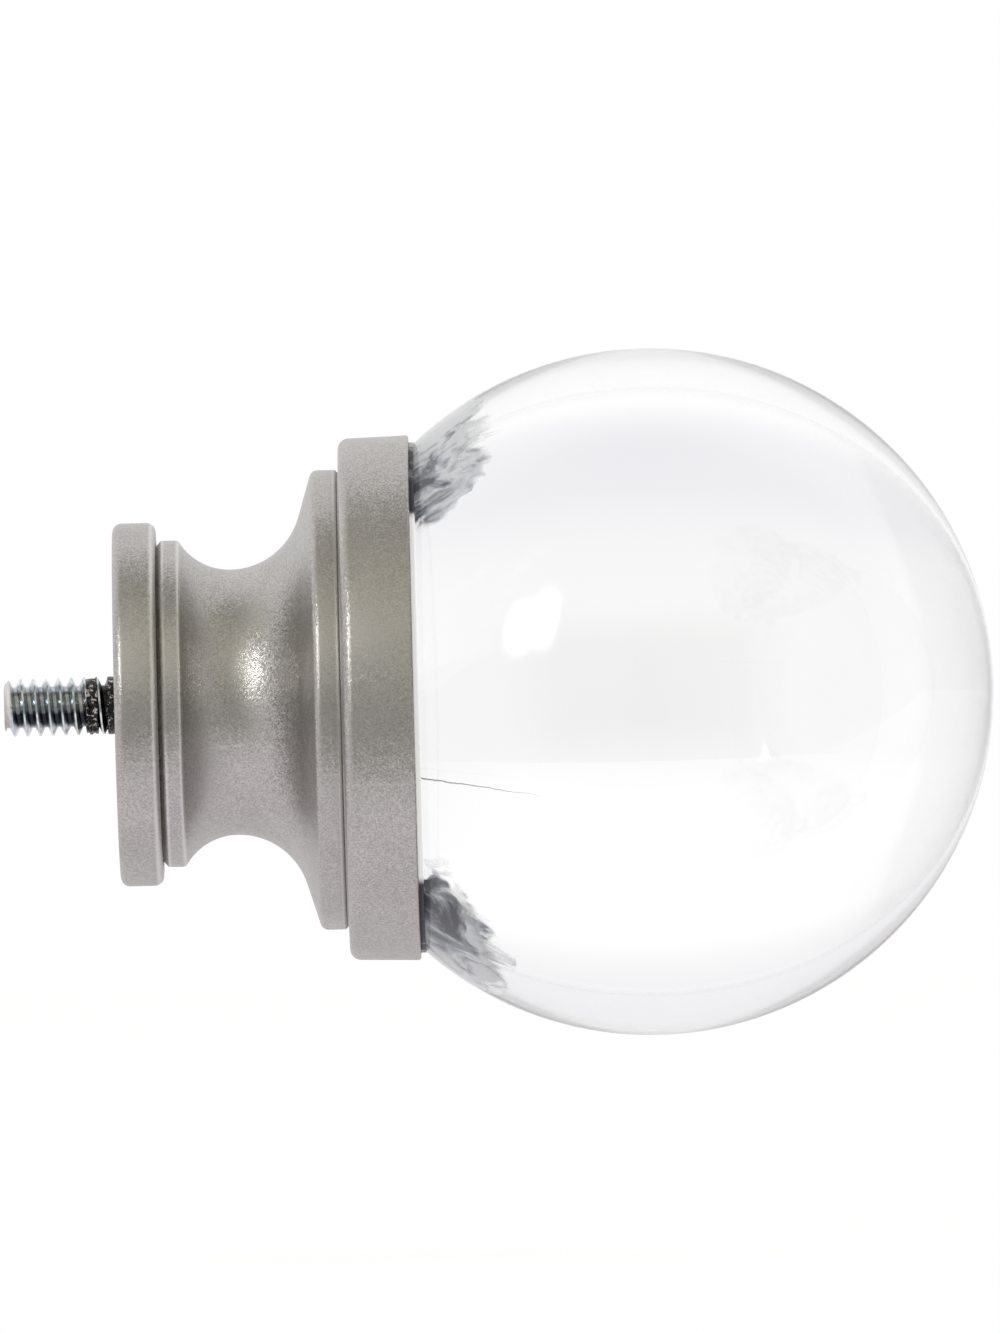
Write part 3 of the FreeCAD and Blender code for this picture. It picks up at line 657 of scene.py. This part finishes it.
cement_paint = new_material("marbled_resin_cement")
place = add_node(cement_paint, "ShaderNodeTexCoord")
cement_xyz = add_node(cement_paint, "ShaderNodeSeparateXYZ", inputs={"Vector": place.outputs["Object"]})
from_middle = calculate(cement_paint, "ABSOLUTE", cement_xyz.outputs["Z"])
past_lip = calculate(cement_paint, "MULTIPLY_ADD", cement_xyz.outputs["X"], 1 / MM, -LIP_PLACE)
past_bend = calculate(cement_paint, "MAXIMUM", calculate(
    cement_paint, "SUBTRACT", past_lip, WINDOW_BEND), 0.0)
slanted = calculate(cement_paint, "MULTIPLY", past_bend, math.tan(WINDOW_SLANT))
above_level = calculate(cement_paint, "MULTIPLY_ADD", from_middle, 1 / MM, -WINDOW_HALF)
above_window = calculate(cement_paint, "SUBTRACT", above_level, slanted)
before_end = calculate(cement_paint, "SUBTRACT", SMEAR_REACH, past_lip)
inside_by = calculate(cement_paint, "MINIMUM", above_window, before_end)
smoky = ramp(cement_paint, from_middle, CLEAR_HALF_HEIGHT, CLEAR_HALF_HEIGHT + CLEAR_FADE)
print("clear window: %.1f mm half height at the lip" % WINDOW_HALF)

# %% [markdown]
# Two noises fray that border: broad lobes, as a blob of cement spreads, and fine streaks, as it was
# wiped. Near the collar the border is almost sharp, because the cement is thick there; further out it
# feathers over two millimetres.

# %% Lobes and streaks fray the border into a film
LOBE_SIZE = 3.4 * MM
LOBE_REACH = 9.0
STREAK_SIZE = 0.9 * MM
STREAK_STRETCH = 0.3
STREAK_REACH = 1.2
FRAY_STEP = (0.0, 4.0)
FRAY_AT_LIP = 0.15
FEATHER_STEP = (1.5, 5.0)
SHARP_EDGE = 0.25
FEATHER = 2.0
BEAD_STEP = (0.35, 0.6)

drawn_out = add_node(cement_paint, "ShaderNodeMapping", inputs={
    "Vector": place.outputs["Object"], "Scale": (STREAK_STRETCH, 1, 1)})
streaks = add_node(cement_paint, "ShaderNodeTexNoise", inputs={
    "Vector": drawn_out.outputs[0], "Scale": 1 / STREAK_SIZE, "Detail": 4.0})
lobes = add_node(cement_paint, "ShaderNodeTexNoise", inputs={
    "Vector": place.outputs["Object"], "Scale": 1 / LOBE_SIZE, "Detail": 1.5, "Distortion": 0.8})
rough_lobe = calculate(cement_paint, "SUBTRACT", lobes.outputs["Fac"], 0.5)
rough_streak = calculate(cement_paint, "SUBTRACT", streaks.outputs["Fac"], 0.5)
unevenness = calculate(cement_paint, "MULTIPLY_ADD", rough_lobe, LOBE_REACH, calculate(
    cement_paint, "MULTIPLY", rough_streak, STREAK_REACH))
frayed = calculate(cement_paint, "MULTIPLY_ADD", unevenness,
                   ramp(cement_paint, past_lip, *FRAY_STEP, FRAY_AT_LIP, 1.0), inside_by)
fade_width = ramp(cement_paint, past_lip, *FEATHER_STEP, SHARP_EDGE, FEATHER)
film_depth = calculate(cement_paint, "DIVIDE", frayed, fade_width)
in_bead = ramp(cement_paint, past_lip, *BEAD_STEP, 1.0, 0.0)
cover = calculate(cement_paint, "MAXIMUM", ramp(cement_paint, film_depth, 0.0, 1.0), in_bead)

# %% [markdown]
# A distorted noise gives the drawn-out clouds of the marbling. The film is whiter at its thin edge,
# where it thins, and lighter along the crown. It is darker in the bead and next to the collar, partly
# because the cement gathers there and partly as painted shade from the collar, and a little darker
# towards the bottom.

# %% Marbling
CLOUD_SIZE = 4.2 * MM
CLOUD_STRETCH = 0.9
EDGE_LIGHT = 0.16
CROWN_LIGHT = 0.19
BEAD_GATHER_AND_SHADE = -0.1
COLLAR_GATHER_AND_SHADE = -0.04
DARKER_BELOW = -0.04
EDGE_LIGHT_STEP = (0.2, 1.8)
CROWN_STEP = (1.5 * MM, 8.5 * MM)
BEAD_DARK_STEP = (0.4, 0.6)
COLLAR_DARK_STEP = (0.6, 4.0)
DARKER_BELOW_STEP = (-14.0 * MM, 14.0 * MM)

crept = add_node(cement_paint, "ShaderNodeMapping", inputs={
    "Vector": place.outputs["Object"], "Scale": (CLOUD_STRETCH, 1, 1)})
smoke = add_node(cement_paint, "ShaderNodeTexNoise", inputs={
    "Vector": crept.outputs[0], "Scale": 1 / CLOUD_SIZE, "Detail": 6.0, "Roughness": 0.58,
    "Distortion": 1.3})
from_crown = calculate(cement_paint, "ABSOLUTE", cement_xyz.outputs["Y"])
lightness = smoke.outputs["Fac"]
# Painted shade: part of the darkening beside the collar stands in for the collar's shade
for shift in (ramp(cement_paint, film_depth, *EDGE_LIGHT_STEP, EDGE_LIGHT, 0.0),
              ramp(cement_paint, from_crown, *CROWN_STEP, CROWN_LIGHT, 0.0),
              ramp(cement_paint, past_lip, *BEAD_DARK_STEP, BEAD_GATHER_AND_SHADE, 0.0),
              ramp(cement_paint, past_lip, *COLLAR_DARK_STEP, COLLAR_GATHER_AND_SHADE, 0.0),
              ramp(cement_paint, cement_xyz.outputs["Z"], *DARKER_BELOW_STEP, DARKER_BELOW, 0.0)):
    lightness = calculate(cement_paint, "ADD", lightness, shift)

# %% Cement finish: matt and slightly rough, with painted light: a glow stands in for the light that reaches it through the glass
STREAK_DARK = "#3a3b47"
CLOUD_WHITE = "#f6f7f8"
TONES = ((0.45, "#70747f"), (0.487, "#9ea3ab"), (0.532, "#caced1"))
WHITE_CEMENT = "#f2f2f3"
SMOKY_PAINTED_LIGHT = "#26272c"
PAINTED_LIGHT_THROUGH_GLASS = 0.45

tones = add_node(cement_paint, "ShaderNodeValToRGB", inputs={"Fac": lightness})
darkest, whitest = tones.color_ramp.elements
darkest.position, darkest.color = 0.41, linear(STREAK_DARK)
whitest.position, whitest.color = 0.585, linear(CLOUD_WHITE)
for spot, tone in TONES:
    tones.color_ramp.elements.new(spot).color = linear(tone)
cement_colour = blend(cement_paint, smoky, linear(WHITE_CEMENT), tones.outputs["Color"])
# Painted light: the cement glows, white where it is white and dim in the smoky parts
painted_light_colour = blend(cement_paint, smoky, linear(WHITE_CEMENT), linear(SMOKY_PAINTED_LIGHT))
rough_face = add_node(cement_paint, "ShaderNodeBump", inputs={
    "Strength": 0.6, "Distance": 0.15 * MM, "Height": streaks.outputs["Fac"]})
cement_shader = add_node(cement_paint, "ShaderNodeBsdfPrincipled", inputs={
    "Base Color": cement_colour, "Roughness": 0.55, "Normal": rough_face.outputs["Normal"],
    "Emission Color": painted_light_colour, "Emission Strength": PAINTED_LIGHT_THROUGH_GLASS})
bare_glass = add_node(cement_paint, "ShaderNodeBsdfTransparent")
cement_mix = add_node(cement_paint, "ShaderNodeMixShader", inputs={
    0: cover, 1: bare_glass.outputs[0], 2: cement_shader.outputs["BSDF"]})
show(cement_paint, cement_mix.outputs[0])

# %% [markdown]
# The cement's body is turned like the base: a thin spherical cap between ball and seat, which ends
# in a bead past the lip. The plug in the ball's neck is a plain cylinder, because it is cast in a
# round hole.

# %% Cement in the seat: a thin spherical cap that ends in a bead past the lip
cement_inner = BALL_RADIUS + CEMENT_GAP
cement_outer = SEAT_RADIUS - CEMENT_GAP
bead_radius = LIP_BORE_RADIUS - CEMENT_GAP
bead_end = BALL_PLACE - math.sqrt(cement_inner ** 2 - (bead_radius - CEMENT_EDGE) ** 2)

cement = bmesh.new()
point = start_at(cement, BALL_PLACE - cement_outer, 0)
point = arc_round(cement, point, BALL_PLACE, 0, math.asin(bead_radius / cement_outer), SEAT_STEPS)
point = line_to(cement, point, bead_end, bead_radius)
point = line_to(cement, point, bead_end, bead_radius - CEMENT_EDGE)
arc_round(cement, point, BALL_PLACE, 0, -math.asin((bead_radius - CEMENT_EDGE) / cement_inner), SEAT_STEPS)
turn_solid(cement)
print("the bead ends %.2f mm past the lip" % (bead_end - LIP_PLACE))

# %% Plug through the ball's neck
PLUG_SIDES = 96

upright = Matrix.Rotation(QUARTER, 4, "Y")
plug_start = BALL_PLACE - math.sqrt(cement_inner ** 2 - PLUG_RADIUS ** 2)
plug_end = BALL_PLACE - SEAT_RADIUS + PLUG_LENGTH
plug_middle = (plug_start + plug_end) / 2
bmesh.ops.create_cone(cement, cap_ends=True, segments=PLUG_SIDES, radius1=PLUG_RADIUS * MM,
                      radius2=PLUG_RADIUS * MM, depth=(plug_end - plug_start) * MM,
                      matrix=Matrix.Translation(AXIS * plug_middle * MM) @ upright)
print("plug %.2f mm long" % (plug_end - plug_start))

# %% [markdown]
# The smear inside the glass follows the hollow's egg shape, so it is cut from such an egg: faces
# stay in a whole ring behind the lip and in two patches past it, with a little to spare for the
# film's frayed border. The egg is 0.02 mm larger than the hollow, because cement that sticks to
# glass leaves no air between them, and an air gap would mirror. Thickness comes last, so that the
# patches are solid too.

# %% Smear on the inside of the hollow
SMEAR_ROUND = 192
SMEAR_RINGS = 160
SPARE_FILM = 0.9
BOND = 0.02
CEMENT_EDGE_ANGLE = 50

lie_along = Matrix.Translation(AXIS * BALL_PLACE * MM) @ upright


def egg(long_radius, wide_radius):
    """Matrix that turns a unit sphere into an egg along the axis, round the ball's centre."""
    return lie_along @ Matrix.Diagonal((wide_radius * MM, wide_radius * MM, long_radius * MM, 1))


def cement_stays(spot):
    """Whether cement dried at this place on the hollow's wall, or its film may reach so far."""
    beyond = spot.x / MM - LIP_PLACE
    if beyond < -SMEAR_COVER:
        return True
    window = WINDOW_HALF + max(0, beyond - WINDOW_BEND) * math.tan(WINDOW_SLANT)
    return beyond < SMEAR_REACH + SPARE_FILM and abs(spot.z) / MM > window - SPARE_FILM


smear = bmesh.new()
bmesh.ops.create_uvsphere(smear, u_segments=SMEAR_ROUND, v_segments=SMEAR_RINGS, radius=1.0,
                          matrix=egg(HOLLOW_HALF_LENGTH + BOND, HOLLOW_RADIUS + BOND))
bare_faces = [face for face in smear.faces if not cement_stays(face.calc_center_median())]
bmesh.ops.delete(smear, geom=bare_faces, context="FACES")
bmesh.ops.smooth_vert(smear, verts=[v for v in smear.verts if v.is_boundary], factor=0.5,
                      use_axis_x=True, use_axis_y=True, use_axis_z=True)
bmesh.ops.recalc_face_normals(smear, faces=smear.faces[:])
bmesh.ops.solidify(smear, geom=smear.faces[:], thickness=SMEAR_THICKNESS * MM)
smear_mesh = bpy.data.meshes.new("smear")
smear.to_mesh(smear_mesh)
smear.free()
cement.from_mesh(smear_mesh)
bpy.data.meshes.remove(smear_mesh)
finish_piece(cement, "marbled_cement", "cement", cement_paint, CEMENT_EDGE_ANGLE)

# %% [markdown]
# ## Zinc-plated stud
#
# The stud is rolled steel with a bright, slightly blue zinc plate. To the eye that is a crisp mirror
# on the crests with cloudy blotches a fraction of a millimetre wide. Its roots are dark with dust, oil
# and painted shade, darkest in a band a little below the middle, which is a painted reflection of the
# dim room. The last turns before the base are filled with dried black thread lock with pale crumbs in
# it, and the tip has a whitish bloom. Each coat could be a piece of its own, but they are so thin that
# one finish mixes them in, by the place along the axis and the distance from it.

# %% Bright zinc with dust, oil and painted shade in its roots
CREST_RADIUS = 2.4
ROOT_RADIUS = 1.7
BLOTCH = 0.7 * MM
PLATE_DULL = "#b4c0c6"
PLATE_BRIGHT = "#fafbfc"
PLATE_STEP = (0.35, 0.65)
ROOT_DIRT_AND_SHADE = "#171c2e"
DARK_ROOT_DEPTH = 0.45
DARK_BAND_HEIGHT = 1.0 * MM
DARK_BAND_STEP = (0.35 * MM, 0.85 * MM)
PAINTED_DARK_BAND_SHARE = 0.97
DIRT_AND_SHADE_ELSEWHERE = 0.35

zinc = new_material("zinc_plated_rolled_thread")
place = add_node(zinc, "ShaderNodeTexCoord")
zinc_xyz = add_node(zinc, "ShaderNodeSeparateXYZ", inputs={"Vector": place.outputs["Object"]})
flat = add_node(zinc, "ShaderNodeCombineXYZ", inputs={
    "Y": zinc_xyz.outputs["Y"], "Z": zinc_xyz.outputs["Z"]})
from_axis = add_node(zinc, "ShaderNodeVectorMath", {"operation": "LENGTH"}, {0: flat.outputs[0]})
radius_here = from_axis.outputs["Value"]
in_root = ramp(zinc, radius_here, ROOT_RADIUS * MM, (ROOT_RADIUS + DARK_ROOT_DEPTH) * MM, 1.0, 0.0)
# Painted reflection: a dark band a little below the middle, all round the stud, stands in for the dim room
# mirrored in the roots; elsewhere the roots get dirt and painted shade
off_band = calculate(zinc, "ABSOLUTE", calculate(zinc, "ADD", zinc_xyz.outputs["Z"], DARK_BAND_HEIGHT))
dark_band_share = ramp(zinc, off_band, *DARK_BAND_STEP, PAINTED_DARK_BAND_SHARE, DIRT_AND_SHADE_ELSEWHERE)
root_dirt_and_shade = calculate(zinc, "MULTIPLY", in_root, dark_band_share)
blotches = add_node(zinc, "ShaderNodeTexNoise", inputs={
    "Vector": place.outputs["Object"], "Scale": 1 / BLOTCH, "Detail": 5.0, "Roughness": 0.65})
plate_tone = add_node(zinc, "ShaderNodeValToRGB", inputs={"Fac": blotches.outputs["Fac"]})
for end, spot, tone in zip(plate_tone.color_ramp.elements, PLATE_STEP, (PLATE_DULL, PLATE_BRIGHT)):
    end.position, end.color = spot, linear(tone)
plated = blend(zinc, root_dirt_and_shade, plate_tone.outputs["Color"], linear(ROOT_DIRT_AND_SHADE))
zinc_shader = add_node(zinc, "ShaderNodeBsdfPrincipled", inputs={
    "Base Color": plated, "Metallic": 1.0, "Roughness": 0.17})

# %% Where the thread lock sits, and the tip's white bloom
CRUMB = 0.5 * MM
LOCK_START = -2.75
FILL_START = -2.55
FILL_END = -1.55
FILL_BORDER = 0.1
CREST_WEAR = 0.12
SWOLLEN_START = -0.75
WHITE_END = -8.75
WHITE_FADE = 2.0
WHITE_SHARE = 0.85

crumbs = add_node(zinc, "ShaderNodeTexNoise", inputs={
    "Vector": place.outputs["Object"], "Scale": 1 / CRUMB, "Detail": 4.0, "Roughness": 0.65,
    "Distortion": 0.6})
along = zinc_xyz.outputs["X"]
# The noise adds about 0.25 mm on average, so the steps below lie that much past their places
wander = calculate(zinc, "MULTIPLY_ADD", crumbs.outputs["Fac"], CRUMB, along)
locked = ramp(zinc, wander, (LOCK_START + 0.1) * MM, (LOCK_START + 0.4) * MM)
on_last_crest = ramp(zinc, wander, (SWOLLEN_START + 0.1) * MM, (SWOLLEN_START + 0.3) * MM)
whitened = ramp(zinc, wander, (WHITE_END + 0.1) * MM, (WHITE_END + 0.4) * MM, WHITE_SHARE, 0.0)
below_crest = ramp(zinc, radius_here, (CREST_RADIUS - CREST_WEAR) * MM,
                   (CREST_RADIUS - CREST_WEAR / 3) * MM, 1.0, 0.0)
in_band = calculate(zinc, "MULTIPLY",
                    ramp(zinc, along, FILL_START * MM, (FILL_START + FILL_BORDER) * MM),
                    ramp(zinc, along, (FILL_END - FILL_BORDER) * MM, FILL_END * MM, 1.0, 0.0))
in_lock = calculate(zinc, "MAXIMUM", in_band, on_last_crest)
smeared = calculate(zinc, "MULTIPLY", locked, calculate(zinc, "MAXIMUM", below_crest, in_lock))
coated = calculate(zinc, "MAXIMUM", smeared, whitened)

# %% Dried thread lock with its crumbs, over the zinc
LOCK_BLACK = "#0c0b0b"
CRUMB_PALE = "#e9e0e2"
BLOOM = "#f3edf0"
CRUMB_STEP = (0.56, 0.6)
LUMP_HEIGHT = 0.12 * MM

speck = calculate(zinc, "MULTIPLY", in_lock, ramp(zinc, crumbs.outputs["Fac"], *CRUMB_STEP))
lock_colour = blend(zinc, speck, linear(LOCK_BLACK), linear(CRUMB_PALE))
past_tip = ramp(zinc, along, WHITE_END * MM, (WHITE_END + WHITE_FADE) * MM)
coat_colour = blend(zinc, past_tip, linear(BLOOM), lock_colour)
lumps = add_node(zinc, "ShaderNodeBump", inputs={
    "Strength": 1.0, "Distance": LUMP_HEIGHT, "Height": crumbs.outputs["Fac"]})
lock_shader = add_node(zinc, "ShaderNodeBsdfPrincipled", inputs={
    "Base Color": coat_colour, "Roughness": 0.16, "Specular IOR Level": 0.35,
    "Normal": lumps.outputs["Normal"]})
zinc_mix = add_node(zinc, "ShaderNodeMixShader", inputs={
    0: coated, 1: zinc_shader.outputs["BSDF"], 2: lock_shader.outputs["BSDF"]})
show(zinc, zinc_mix.outputs[0])

# %% [markdown]
# ### Thread
#
# A helix can be modelled with a Screw modifier, but a spin that also moves along the axis does the
# same in one operator: one pitch of the 60 degree thread outline goes round once per pitch of travel,
# and each turn's end lands on the next turn's start. The spin starts at the top, so the crest's place
# there, read from the picture, sets where every other crest comes. A few turns too many are made, and
# two straight cuts bring the stud to its length.

# %% Thread by a spin that moves along
STEPS_ROUND = 96
SPARE_TURNS = 2
CREST_PLACE = -4.81
ROOT_FLAT = THREAD_PITCH / 4
CREST_FLAT = THREAD_PITCH / 7.5
FLANK = (THREAD_PITCH - ROOT_FLAT - CREST_FLAT) / 2
FLANK_CUTS = 3
SAME_THREAD_POINT = 1e-6

thread = bmesh.new()
turns = math.ceil(STUD_OUT / THREAD_PITCH) + SPARE_TURNS
crests_back = math.ceil((STUD_OUT + CREST_PLACE) / THREAD_PITCH) + 1
thread_start = CREST_PLACE - CREST_FLAT / 2 - FLANK - ROOT_FLAT - crests_back * THREAD_PITCH
point = start_at(thread, thread_start, ROOT_RADIUS)
point = line_to(thread, point, thread_start + ROOT_FLAT, ROOT_RADIUS)
point = line_to(thread, point, thread_start + ROOT_FLAT + FLANK, CREST_RADIUS)
point = line_to(thread, point, thread_start + ROOT_FLAT + FLANK + CREST_FLAT, CREST_RADIUS)
line_to(thread, point, thread_start + THREAD_PITCH, ROOT_RADIUS)
bmesh.ops.subdivide_edges(thread, edges=thread.edges[:], cuts=FLANK_CUTS)
bmesh.ops.spin(thread, geom=thread.verts[:] + thread.edges[:], cent=(0, 0, 0), axis=AXIS,
               dvec=AXIS * THREAD_PITCH * MM / STEPS_ROUND, angle=2 * math.pi * turns,
               steps=STEPS_ROUND * turns)
bmesh.ops.remove_doubles(thread, verts=thread.verts[:], dist=SAME_THREAD_POINT)
print("thread: %d turns, %d faces" % (turns, len(thread.faces)))

# %% Cut the thread to length and close both ends
for cut, outwards in ((-STUD_OUT, -1), (0, 1)):
    bmesh.ops.bisect_plane(thread, geom=thread.verts[:] + thread.edges[:] + thread.faces[:],
                           plane_co=AXIS * cut * MM, plane_no=AXIS * outwards, clear_outer=True)
open_edges = [edge for edge in thread.edges if edge.is_boundary]
bmesh.ops.edgeloop_fill(thread, edges=open_edges)
bmesh.ops.recalc_face_normals(thread, faces=thread.faces[:])
print("closed %d open edges" % len(open_edges))

# %% [markdown]
# The tip is chamfered, so that it finds its hole. One turn is filled nearly flush with thread lock,
# and the last crest before the base is swollen with it. Both are lumpy, which noise from the point's
# own place gives. So each point of the thread only has its distance from the axis set anew.

# %% Tip chamfer, filled turn and swollen last crest
FILL_LEVEL = 0.82
FILL_LUMPS = 0.25
FILL_GRAIN = 0.6
SWOLLEN_LUMPS = 0.02


def level_at(spot, out, along_axis):
    """How far out the stud's surface lies here, given the bare thread's own radius."""
    level = min(out, STUD_RADIUS - max(0, STUD_CHAMFER - (along_axis + STUD_OUT)))
    lump = noise.noise(spot / (FILL_GRAIN * MM))
    if FILL_START < along_axis < FILL_END:
        share = min(1, FILL_LEVEL + FILL_LUMPS * lump)
        return max(level, ROOT_RADIUS + (CREST_RADIUS - ROOT_RADIUS) * share)
    if along_axis > SWOLLEN_START:
        return STUD_RADIUS * (1 - SWOLLEN_LUMPS * abs(lump))
    return level


for vertex in thread.verts:
    out = math.hypot(vertex.co.y, vertex.co.z) / MM
    if out < SAME_POINT:
        continue
    level = level_at(vertex.co, out, vertex.co.x / MM)
    vertex.co.y *= level / out
    vertex.co.z *= level / out

# %% The part of the stud inside the bore, where no thread shows
ROD_SIDES = 48
STUD_EDGE_ANGLE = 25

rod_length = STUD_IN * MM
bmesh.ops.create_cone(thread, cap_ends=True, segments=ROD_SIDES, radius1=ENGAGED_RADIUS * MM,
                      radius2=ENGAGED_RADIUS * MM, depth=rod_length,
                      matrix=Matrix.Translation(AXIS * rod_length / 2) @ upright)
finish_piece(thread, "zinc_stud", "threaded_stud", zinc, STUD_EDGE_ANGLE)

# %% [markdown]
# ## The glass ball
#
# The ball is blown clear soda glass with a true round outside. Its hollow is longer than it is wide,
# so the wall is thickest round the middle, and that makes the bright and grey bands along the top and
# bottom. Two spheres inside each other would give an even wall and an even rim. To the eye clear
# glass is only what it bends and mirrors, so its finish is one plain glass, with no colour. A
# hair-thin scratch runs from the collar on the front: it is a thin diffuse line that wanders a little
# and tapers to nothing.

# %% The hairline's own frame: X along it, Z across it
HAIR_START = Vector((BALL_PLACE - 19.2, -6.4))
HAIR_END = Vector((BALL_PLACE - 8.6, -8.25))
HAIR_HALF_WIDTH = 0.07 * MM
HAIR_WAVE = 1.6 * MM
HAIR_SWING = 0.36 * MM

glass = new_material("clear_blown_soda_glass")
place = add_node(glass, "ShaderNodeTexCoord")
hair_way = (HAIR_END - HAIR_START).normalized()
hair_frame = add_node(glass, "ShaderNodeMapping", {"vector_type": "TEXTURE"}, {
    "Vector": place.outputs["Object"], "Location": (HAIR_START.x * MM, 0, HAIR_START.y * MM),
    "Rotation": (0, -math.atan2(hair_way.y, hair_way.x), 0)})
hair_xyz = add_node(glass, "ShaderNodeSeparateXYZ", inputs={"Vector": hair_frame.outputs[0]})
hair_wave = add_node(glass, "ShaderNodeTexNoise", {"noise_dimensions": "1D"}, {
    "W": hair_xyz.outputs["X"], "Scale": 1 / HAIR_WAVE, "Detail": 3.0})
hair_off = calculate(glass, "ABSOLUTE", calculate(
    glass, "MULTIPLY_ADD", hair_wave.outputs["Fac"], HAIR_SWING, hair_xyz.outputs["Z"]))
hair_length = (HAIR_END - HAIR_START).length * MM
hair_taper = add_node(glass, "ShaderNodeMapRange", inputs={
    "Value": hair_xyz.outputs["X"], "From Min": 0.0, "From Max": hair_length,
    "To Min": HAIR_HALF_WIDTH, "To Max": 0.0})
on_hair = calculate(glass, "LESS_THAN", hair_off, hair_taper.outputs["Result"])
print("hairline %.1f mm long" % (hair_length / MM))

# %% Clear glass, with the hairline on its front and outer skin only
HAIR_GREY = "#77777c"
HAIR_DEPTH = 0.7
GLASS_IOR = 1.5

glass_xyz = add_node(glass, "ShaderNodeSeparateXYZ", inputs={"Vector": place.outputs["Object"]})
on_front = calculate(glass, "LESS_THAN", glass_xyz.outputs["Y"], 0.0)
from_centre = add_node(glass, "ShaderNodeVectorMath", {"operation": "DISTANCE"}, {
    0: place.outputs["Object"], 1: tuple(AXIS * BALL_PLACE * MM)})
on_outer_skin = calculate(glass, "GREATER_THAN", from_centre.outputs["Value"],
                          (BALL_RADIUS - BALL_END_WALL / 2) * MM)
hair_here = calculate(glass, "MULTIPLY", on_hair, calculate(glass, "MULTIPLY", on_front, on_outer_skin))
glass_shader = add_node(glass, "ShaderNodeBsdfPrincipled", inputs={
    "Base Color": linear("#ffffff"), "Roughness": 0.0, "IOR": GLASS_IOR, "Transmission Weight": 1.0})
hair_shader = add_node(glass, "ShaderNodeBsdfDiffuse", inputs={"Color": linear(HAIR_GREY)})
glass_mix = add_node(glass, "ShaderNodeMixShader", inputs={
    0: calculate(glass, "MULTIPLY", hair_here, HAIR_DEPTH),
    1: glass_shader.outputs["BSDF"], 2: hair_shader.outputs[0]})
show(glass, glass_mix.outputs[0])

# %% [markdown]
# Both skins are fine spheres, because any facet shows in refraction. Each is cut at the neck hole
# inside the collar, and a bridge between the two cuts makes one closed wall. A Solidify modifier
# could make the inner skin, but only at an even distance, and this wall isn't even.

# %% Two skins, cut at the neck and joined
SKIN_ROUND = 224
SKIN_RINGS = 112
BALL_EDGE_ANGLE = 60


def add_skin(shape, long_radius, wide_radius):
    """One skin of the ball, open at the neck; returns its faces and the neck's edges."""
    before = set(shape.verts)
    neck_share = NECK_HOLE_RADIUS / wide_radius
    cut_place = BALL_PLACE - long_radius * math.sqrt(1 - neck_share ** 2)
    bmesh.ops.create_uvsphere(shape, u_segments=SKIN_ROUND, v_segments=SKIN_RINGS, radius=1.0,
                              matrix=egg(long_radius, wide_radius))
    verts = [vertex for vertex in shape.verts if vertex not in before]
    edges = [edge for edge in shape.edges if edge.verts[0] not in before]
    faces = [face for face in shape.faces if face.verts[0] not in before]
    cut = bmesh.ops.bisect_plane(shape, geom=verts + edges + faces, plane_co=AXIS * cut_place * MM,
                                 plane_no=-AXIS, clear_outer=True)
    rim = [item for item in cut["geom_cut"] if isinstance(item, bmesh.types.BMEdge)]
    skin = [face for face in shape.faces if face.verts[0] not in before]
    return skin, rim


ball = bmesh.new()
outer_skin, outer_rim = add_skin(ball, BALL_RADIUS, BALL_RADIUS)
inner_skin, inner_rim = add_skin(ball, HOLLOW_HALF_LENGTH, HOLLOW_RADIUS)
print("outer skin %d faces, inner skin %d faces" % (len(outer_skin), len(inner_skin)))
bmesh.ops.reverse_faces(ball, faces=inner_skin)
bmesh.ops.bridge_loops(ball, edges=outer_rim + inner_rim)
bmesh.ops.recalc_face_normals(ball, faces=ball.faces[:])
finish_piece(ball, "clear_ball", "glass_ball", glass, BALL_EDGE_ANGLE)
